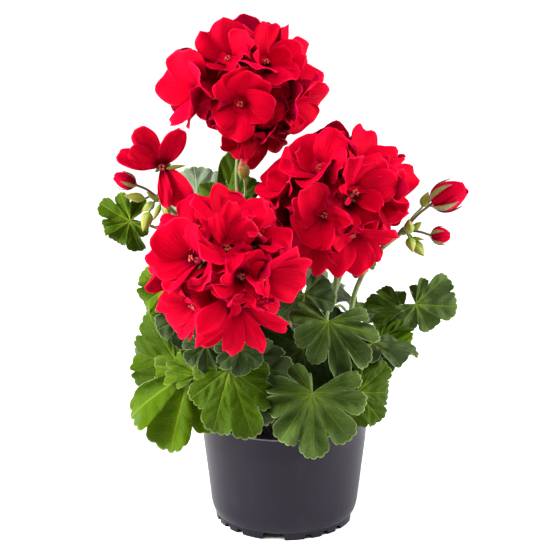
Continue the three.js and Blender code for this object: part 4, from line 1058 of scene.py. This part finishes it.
OPENING = {
    "opening_bud_left": ((-105, -11, 254), (-119, -13, 261), 6.2),
    "opening_bud_right_large": ((104, -2, 238), (128, -4, 250), 11.0),
    "opening_bud_right_small": ((104, -5, 215), (117, -8, 216), 6.4),
    "young_flower_left": ((-85, -13, 267), (-85, -22, 270), 3.6),
}
SPRAY_STALK_RADIUS = 1.9
KNOT_RADIUS = 3.2
LONE_STALK = [(-33, 22, 234), (-28, 4, 243), (-28, -8, 258)]
LONE_BUD = ((-28, -8, 257), (-30, -12, 273), 4.4)
BUD_GREEN = (0.135, 0.20, 0.012, 1)
BUD_FLUSH = (0.30, 0.012, 0.03, 1)


def bud_frame(base, tip):
    """A bud's axis, its length, and two ways square to the axis and to each other."""
    base, tip = np.asarray(base, float), np.asarray(tip, float)
    axis = unit(tip - base)
    side = unit(np.cross(axis, [0.3, 1, 0.2]))
    return base, axis, np.linalg.norm(tip - base), side, np.cross(axis, side)


def closed_bud(base, tip, radius, ripe=0.0):
    """A drop shape along the axis: its radius rises fast from the base and closes to a point, with five low
    ribs. The mark seam is 1 in the grooves between two sepals, where the red petals show through, and ripe is
    the share of the length by which the red flush has come down from the tip."""
    base, axis, length, side, top = bud_frame(base, tip)
    along = np.linspace(0.02, 0.99, 16)[:, None]
    angle = np.linspace(0, 2 * np.pi, 20, endpoint=False)
    body = radius * np.sin(np.pi * along**0.72) ** 0.8 * (1 - 0.25 * along**3)
    reach = body * (1 + 0.07 * np.cos(5 * angle + 1.5 * along))
    rings = placed(base, (length * along, axis), (reach * np.cos(angle), side), (reach * np.sin(angle), top))
    seam = 0.5 - 0.5 * np.cos(5 * angle + 1.5 * along)
    return closed_rings(rings, np.array([base, base + length * axis]), {"length": along + ripe, "seam": seam})


bud_finish, tree, shader = new_finish("bud_green", BUD_GREEN, 0.45, Specular_IOR_Level=0.3, Sheen_Weight=0.12,
                                      Sheen_Roughness=0.35, Sheen_Tint=(0.9, 0.95, 0.6, 1))
place, length = object_place(tree), mark(tree, "length")
tip_flush = times(tree, ramp(tree, length, 0.72, 1.0), ramp(tree, noise(tree, place, 320), 0.4, 0.62))
seam_flush = times(tree, ramp(tree, mark(tree, "seam"), 0.55, 0.95), ramp(tree, length, 0.15, 0.5))
flush = sums(tree, "MAXIMUM", tip_flush, times(tree, seam_flush, 0.55))
paint(tree, shader, mixed(tree, flush, BUD_GREEN, BUD_FLUSH))
bump(tree, shader, noise(tree, place, 1800), 0.0003)

for name, spray in SPRAYS.items():
    hub = np.array(spray["line"][-1], float)
    stalk = tube(curve_through(spray["line"], 50), SPRAY_STALK_RADIUS, 12)
    knot = closed_bud(hub - [0, 0, KNOT_RADIUS], hub + [0, 0, KNOT_RADIUS + 0.2], KNOT_RADIUS)
    green_parts = [stalk, knot]
    ends = [(base, PEDICEL_RADIUS, 0.0) for base, tip, radius in spray["buds"]]
    for which in spray["opening"]:
        base, tip, radius = OPENING[which]
        ends.append((np.array(base) + 0.5 * unit(np.array(tip) - np.array(base)), 1.0, 1.0))
    for end, radius, brown in ends:
        elbow = hub + 0.5 * (np.array(end) - hub) + np.array([0, 0, 1.5])
        green_parts.append(tube(curve_through([hub, elbow, end], 14), radius, 8, {"brown": brown}))
    bud_parts = [{**closed_bud(*bud), "finish": 1} for bud in spray["buds"]]
    piece = mesh_object("spray_" + name, green_parts + bud_parts, [calyx_finish, bud_finish])
    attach(piece, "root")
    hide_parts("bud_spray_" + name)

lone_bud = mesh_object("bud_under_top_head", [
    tube(curve_through(LONE_STALK, 14), PEDICEL_RADIUS, 8), {**closed_bud(*LONE_BUD, ripe=0.4), "finish": 1},
], [calyx_finish, bud_finish])
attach(lone_bud, "root")
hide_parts("leafy_stem_left")

# Opening buds. Crimson petals rolled round each other push out of five narrow pointed sepals. The sepals are
# green with reddish edges, and they are joined to the end of the bud's pedicel.
SEPAL_GREEN = (0.11, 0.15, 0.025, 1)
SEPAL_RED = (0.19, 0.02, 0.015, 1)
SEPAL_THICKNESS = 0.45
ROLLED_TONE = 3.4


def bud_outline(height):
    """How wide an opening bud is at a share of its height: a sine that rises fast and closes late."""
    return np.sin(np.pi * (0.08 + 0.80 * np.clip(height, 0, 1)) ** 0.85) ** 0.75


def rolled_petals(base, tip, radius):
    """Five petals wrapped round the bud's axis: each covers a bit under half a turn, its radius follows the
    bud's outline and grows along its width, so one edge lies over the next petal and the other under the one
    before. They are deep in tone, and in a small bud their colour starts nearer to the dark claw."""
    base, axis, length, side, top = bud_frame(base, tip)
    along, across = blade_grid(14, 12)
    start = 0.45 if radius > 8 else 0.2
    marks = {"along": start + 0.45 * along, "across": across, "tone": ROLLED_TONE}
    parts = []
    for i in range(5):
        turn = 2 * np.pi * i / 5
        angle = turn - across * (0.45 + 0.62 * np.sin(np.pi * np.clip(along, 0, 0.8) / 1.6))
        reach = radius * bud_outline(along) * (0.9 + 0.09 * across) * (1 - 0.05 * (i % 2))
        up = length * (0.02 + along * (0.98 - 0.10 * across**2 - 0.05 * draw(i + radius)))
        middle = placed(base, (up, axis), (reach * np.cos(angle), side), (reach * np.sin(angle), top))
        parts.append(shell(middle, PETAL_THICKNESS, marks))
    return parts


def bud_sepals(base, tip, radius):
    """Five narrow pointed sepals that hug the bud for two thirds of its length and stand off at their tips.
    The mark sepal runs from 0 on the midrib to 1 at both edges and at the tip."""
    base, axis, length, side, top = bud_frame(base, tip)
    along, across = blade_grid(12, 5)
    parts = []
    for i in range(5):
        half = 0.34 * (1 - along) ** 0.7 * (0.6 + 0.4 * np.sin(np.pi * along)) + 0.02
        angle = 2 * np.pi * (i + 0.5) / 5 - across * half
        height = -0.10 + 0.80 * along
        reach = 0.9 + (radius * bud_outline(height) - 0.5) * np.clip(5 * along, 0, 1) + 1.0 * along**8
        up = length * height + 0 * across
        middle = placed(base, (up, axis), (reach * np.cos(angle), side), (reach * np.sin(angle), top))
        parts.append(shell(middle, SEPAL_THICKNESS, {"sepal": np.maximum(np.abs(across), along**3)}))
    return parts


sepal_finish, tree, shader = new_finish("sepal_green", SEPAL_GREEN, 0.5, Sheen_Weight=0.12,
                                        Sheen_Roughness=0.35)
paint(tree, shader, mixed(tree, ramp(tree, mark(tree, "sepal"), 0.4, 1.0), SEPAL_GREEN, SEPAL_RED))
bump(tree, shader, noise(tree, object_place(tree), 1800), 0.0003)

for name, bud in OPENING.items():
    if name == "young_flower_left":
        continue
    parts = rolled_petals(*bud) + [{**part, "finish": 1} for part in bud_sepals(*bud)]
    piece = mesh_object(name.replace("opening", "half_open"), parts, [petal_red, sepal_finish])
    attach(piece, "root")
    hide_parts(name)

# Young flower on the left spray. Its narrow red petals have opened but not yet broadened: they stand up
# cupped from the calyx, in two uneven groups, and a green sepal shows between them. A petal is: turn, length,
# width, the angles it leaves the axis and ends at, and its cup.
YOUNG_HUB = (-85, -18, 269)
YOUNG_TONE = 1.4
YOUNG_SEPAL = ((-82, -20, 268), (-68, -20, 270), 1.5)
YOUNG_PETALS = [
    (63, 35, 16, 50, 5, 0.25), (120, 36, 17, 50, 0, -0.30), (146, 31, 15, 60, 10, 0.30),
    (164, 32, 14, 35, -15, 0.10), (278, 31, 10, 50, 10, 0.45), (306, 34, 20, 45, -5, 0.15),
]

young = floret_frame(np.array(YOUNG_HUB, float), 0, 4, 0, 0)
facing, right, top, origin = young
parts = []
for i, (turn, length, width, rise, end, cup) in enumerate(YOUNG_PETALS):
    petal = {
        "turn": np.radians(turn), "length": length, "width": width, "rise": rise, "end": end, "root": 1.5,
        "base": -3, "cup": cup, "tilt": 0.2, "wave": 1.8, "ruffle": 1.5, "phase": turn,
    }
    middle, share, across = petal_grid(petal, young, 20, 15)
    marks = {"along": share, "across": across, "tone": YOUNG_TONE + draw(i + 400)}
    parts.append(shell(middle, 0.4 * (1.3 - 0.7 * share), marks))
eye_parts = floret_eye((facing, right, top, origin + 5 * facing), 900)
parts += [{**part, "finish": part["finish"] + 1} for part in eye_parts]
parts += [{**part, "finish": 3} for part in calyx(origin - 5 * facing, facing, right, top, 77)]
parts.append({**closed_bud(*YOUNG_SEPAL), "finish": 4})
finishes = [petal_red, stamen_finish, anther_finish, calyx_finish, bud_finish]
piece = mesh_object("young_flower", parts, finishes)
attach(piece, "root")
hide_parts("young_flower_left")

# Floor, light and camera, in metres. A plain pale floor, a broad soft light from overhead, a little to the
# left and to the front, an upright strip light at each side, and the camera a little above the plant, as in
# the photograph.
FLOOR_HALF = 90
FLOOR_WHITE = (0.82, 0.82, 0.82, 1)
KEY_PLACE = (-0.5, -0.55, 1.6)
KEY_POWER = 4.0
KEY_SPREAD = 50
STRIP_SIZE = (0.36, 0.8)
STRIP_TARGET = (0, 0, 0.12)
STRIPS = (("left_strip", (-0.8, -0.18, 0.42), 27), ("right_strip", (0.8, -0.08, 0.42), 22))
STUDIO_WHITE = (1, 1, 1, 1)
STUDIO_GLOW = 0.2
SENSOR_WIDTH = 36
FOCAL_LENGTH = 122.4
CAMERA_PLACE = (-0.0033, -1.300, 0.590)
CAMERA_PITCH = 72.52

floor_finish = new_finish("pale_floor", FLOOR_WHITE, 0.9, Specular_IOR_Level=0.1)[0]
floor_mesh = bpy.data.meshes.new("floor")
corners = [(x * FLOOR_HALF, y * FLOOR_HALF, 0) for x, y in ((-1, -1), (1, -1), (1, 1), (-1, 1))]
floor_mesh.from_pydata(corners, [], [(0, 1, 2, 3)])
floor_mesh.materials.append(floor_finish)
floor = bpy.data.objects.new("floor", floor_mesh)
bpy.context.scene.collection.objects.link(floor)


def aimed(name, lamp, place, target=(0, 0, 0.2)):
    """A lamp at a place, turned so that it shines at the target."""
    holder = bpy.data.objects.new(name, lamp)
    towards = np.array(target, float) - np.array(place, float)
    holder.location = place
    pitch = np.arctan2(np.hypot(towards[0], towards[1]), -towards[2])
    holder.rotation_euler = (pitch, 0, np.arctan2(towards[1], towards[0]) - np.pi / 2)
    bpy.context.scene.collection.objects.link(holder)
    return holder


# The key isn't seen in reflections, so that the pot's band has no bright spot.
key = bpy.data.lights.new("key", "SUN")
key.energy, key.angle = KEY_POWER, np.radians(KEY_SPREAD)
aimed("key", key, KEY_PLACE).visible_glossy = False
for name, place, power in STRIPS:
    strip = bpy.data.lights.new(name, "AREA")
    strip.shape, strip.energy = "RECTANGLE", power
    strip.size, strip.size_y = STRIP_SIZE
    aimed(name, strip, place, STRIP_TARGET)
world = bpy.data.worlds.new("white studio")
world.use_nodes = True
world.node_tree.nodes["Background"].inputs["Color"].default_value = STUDIO_WHITE
world.node_tree.nodes["Background"].inputs["Strength"].default_value = STUDIO_GLOW
bpy.context.scene.world = world

# The Standard view keeps the floor white and the petals as red as they are set.
bpy.context.scene.view_settings.view_transform = "Standard"

lens = bpy.data.cameras.new("camera")
lens.sensor_width = SENSOR_WIDTH
lens.lens = FOCAL_LENGTH
camera = bpy.data.objects.new("camera", lens)
camera.location = CAMERA_PLACE
camera.rotation_euler = (np.radians(CAMERA_PITCH), 0, 0)
bpy.context.scene.collection.objects.link(camera)
bpy.context.scene.camera = camera
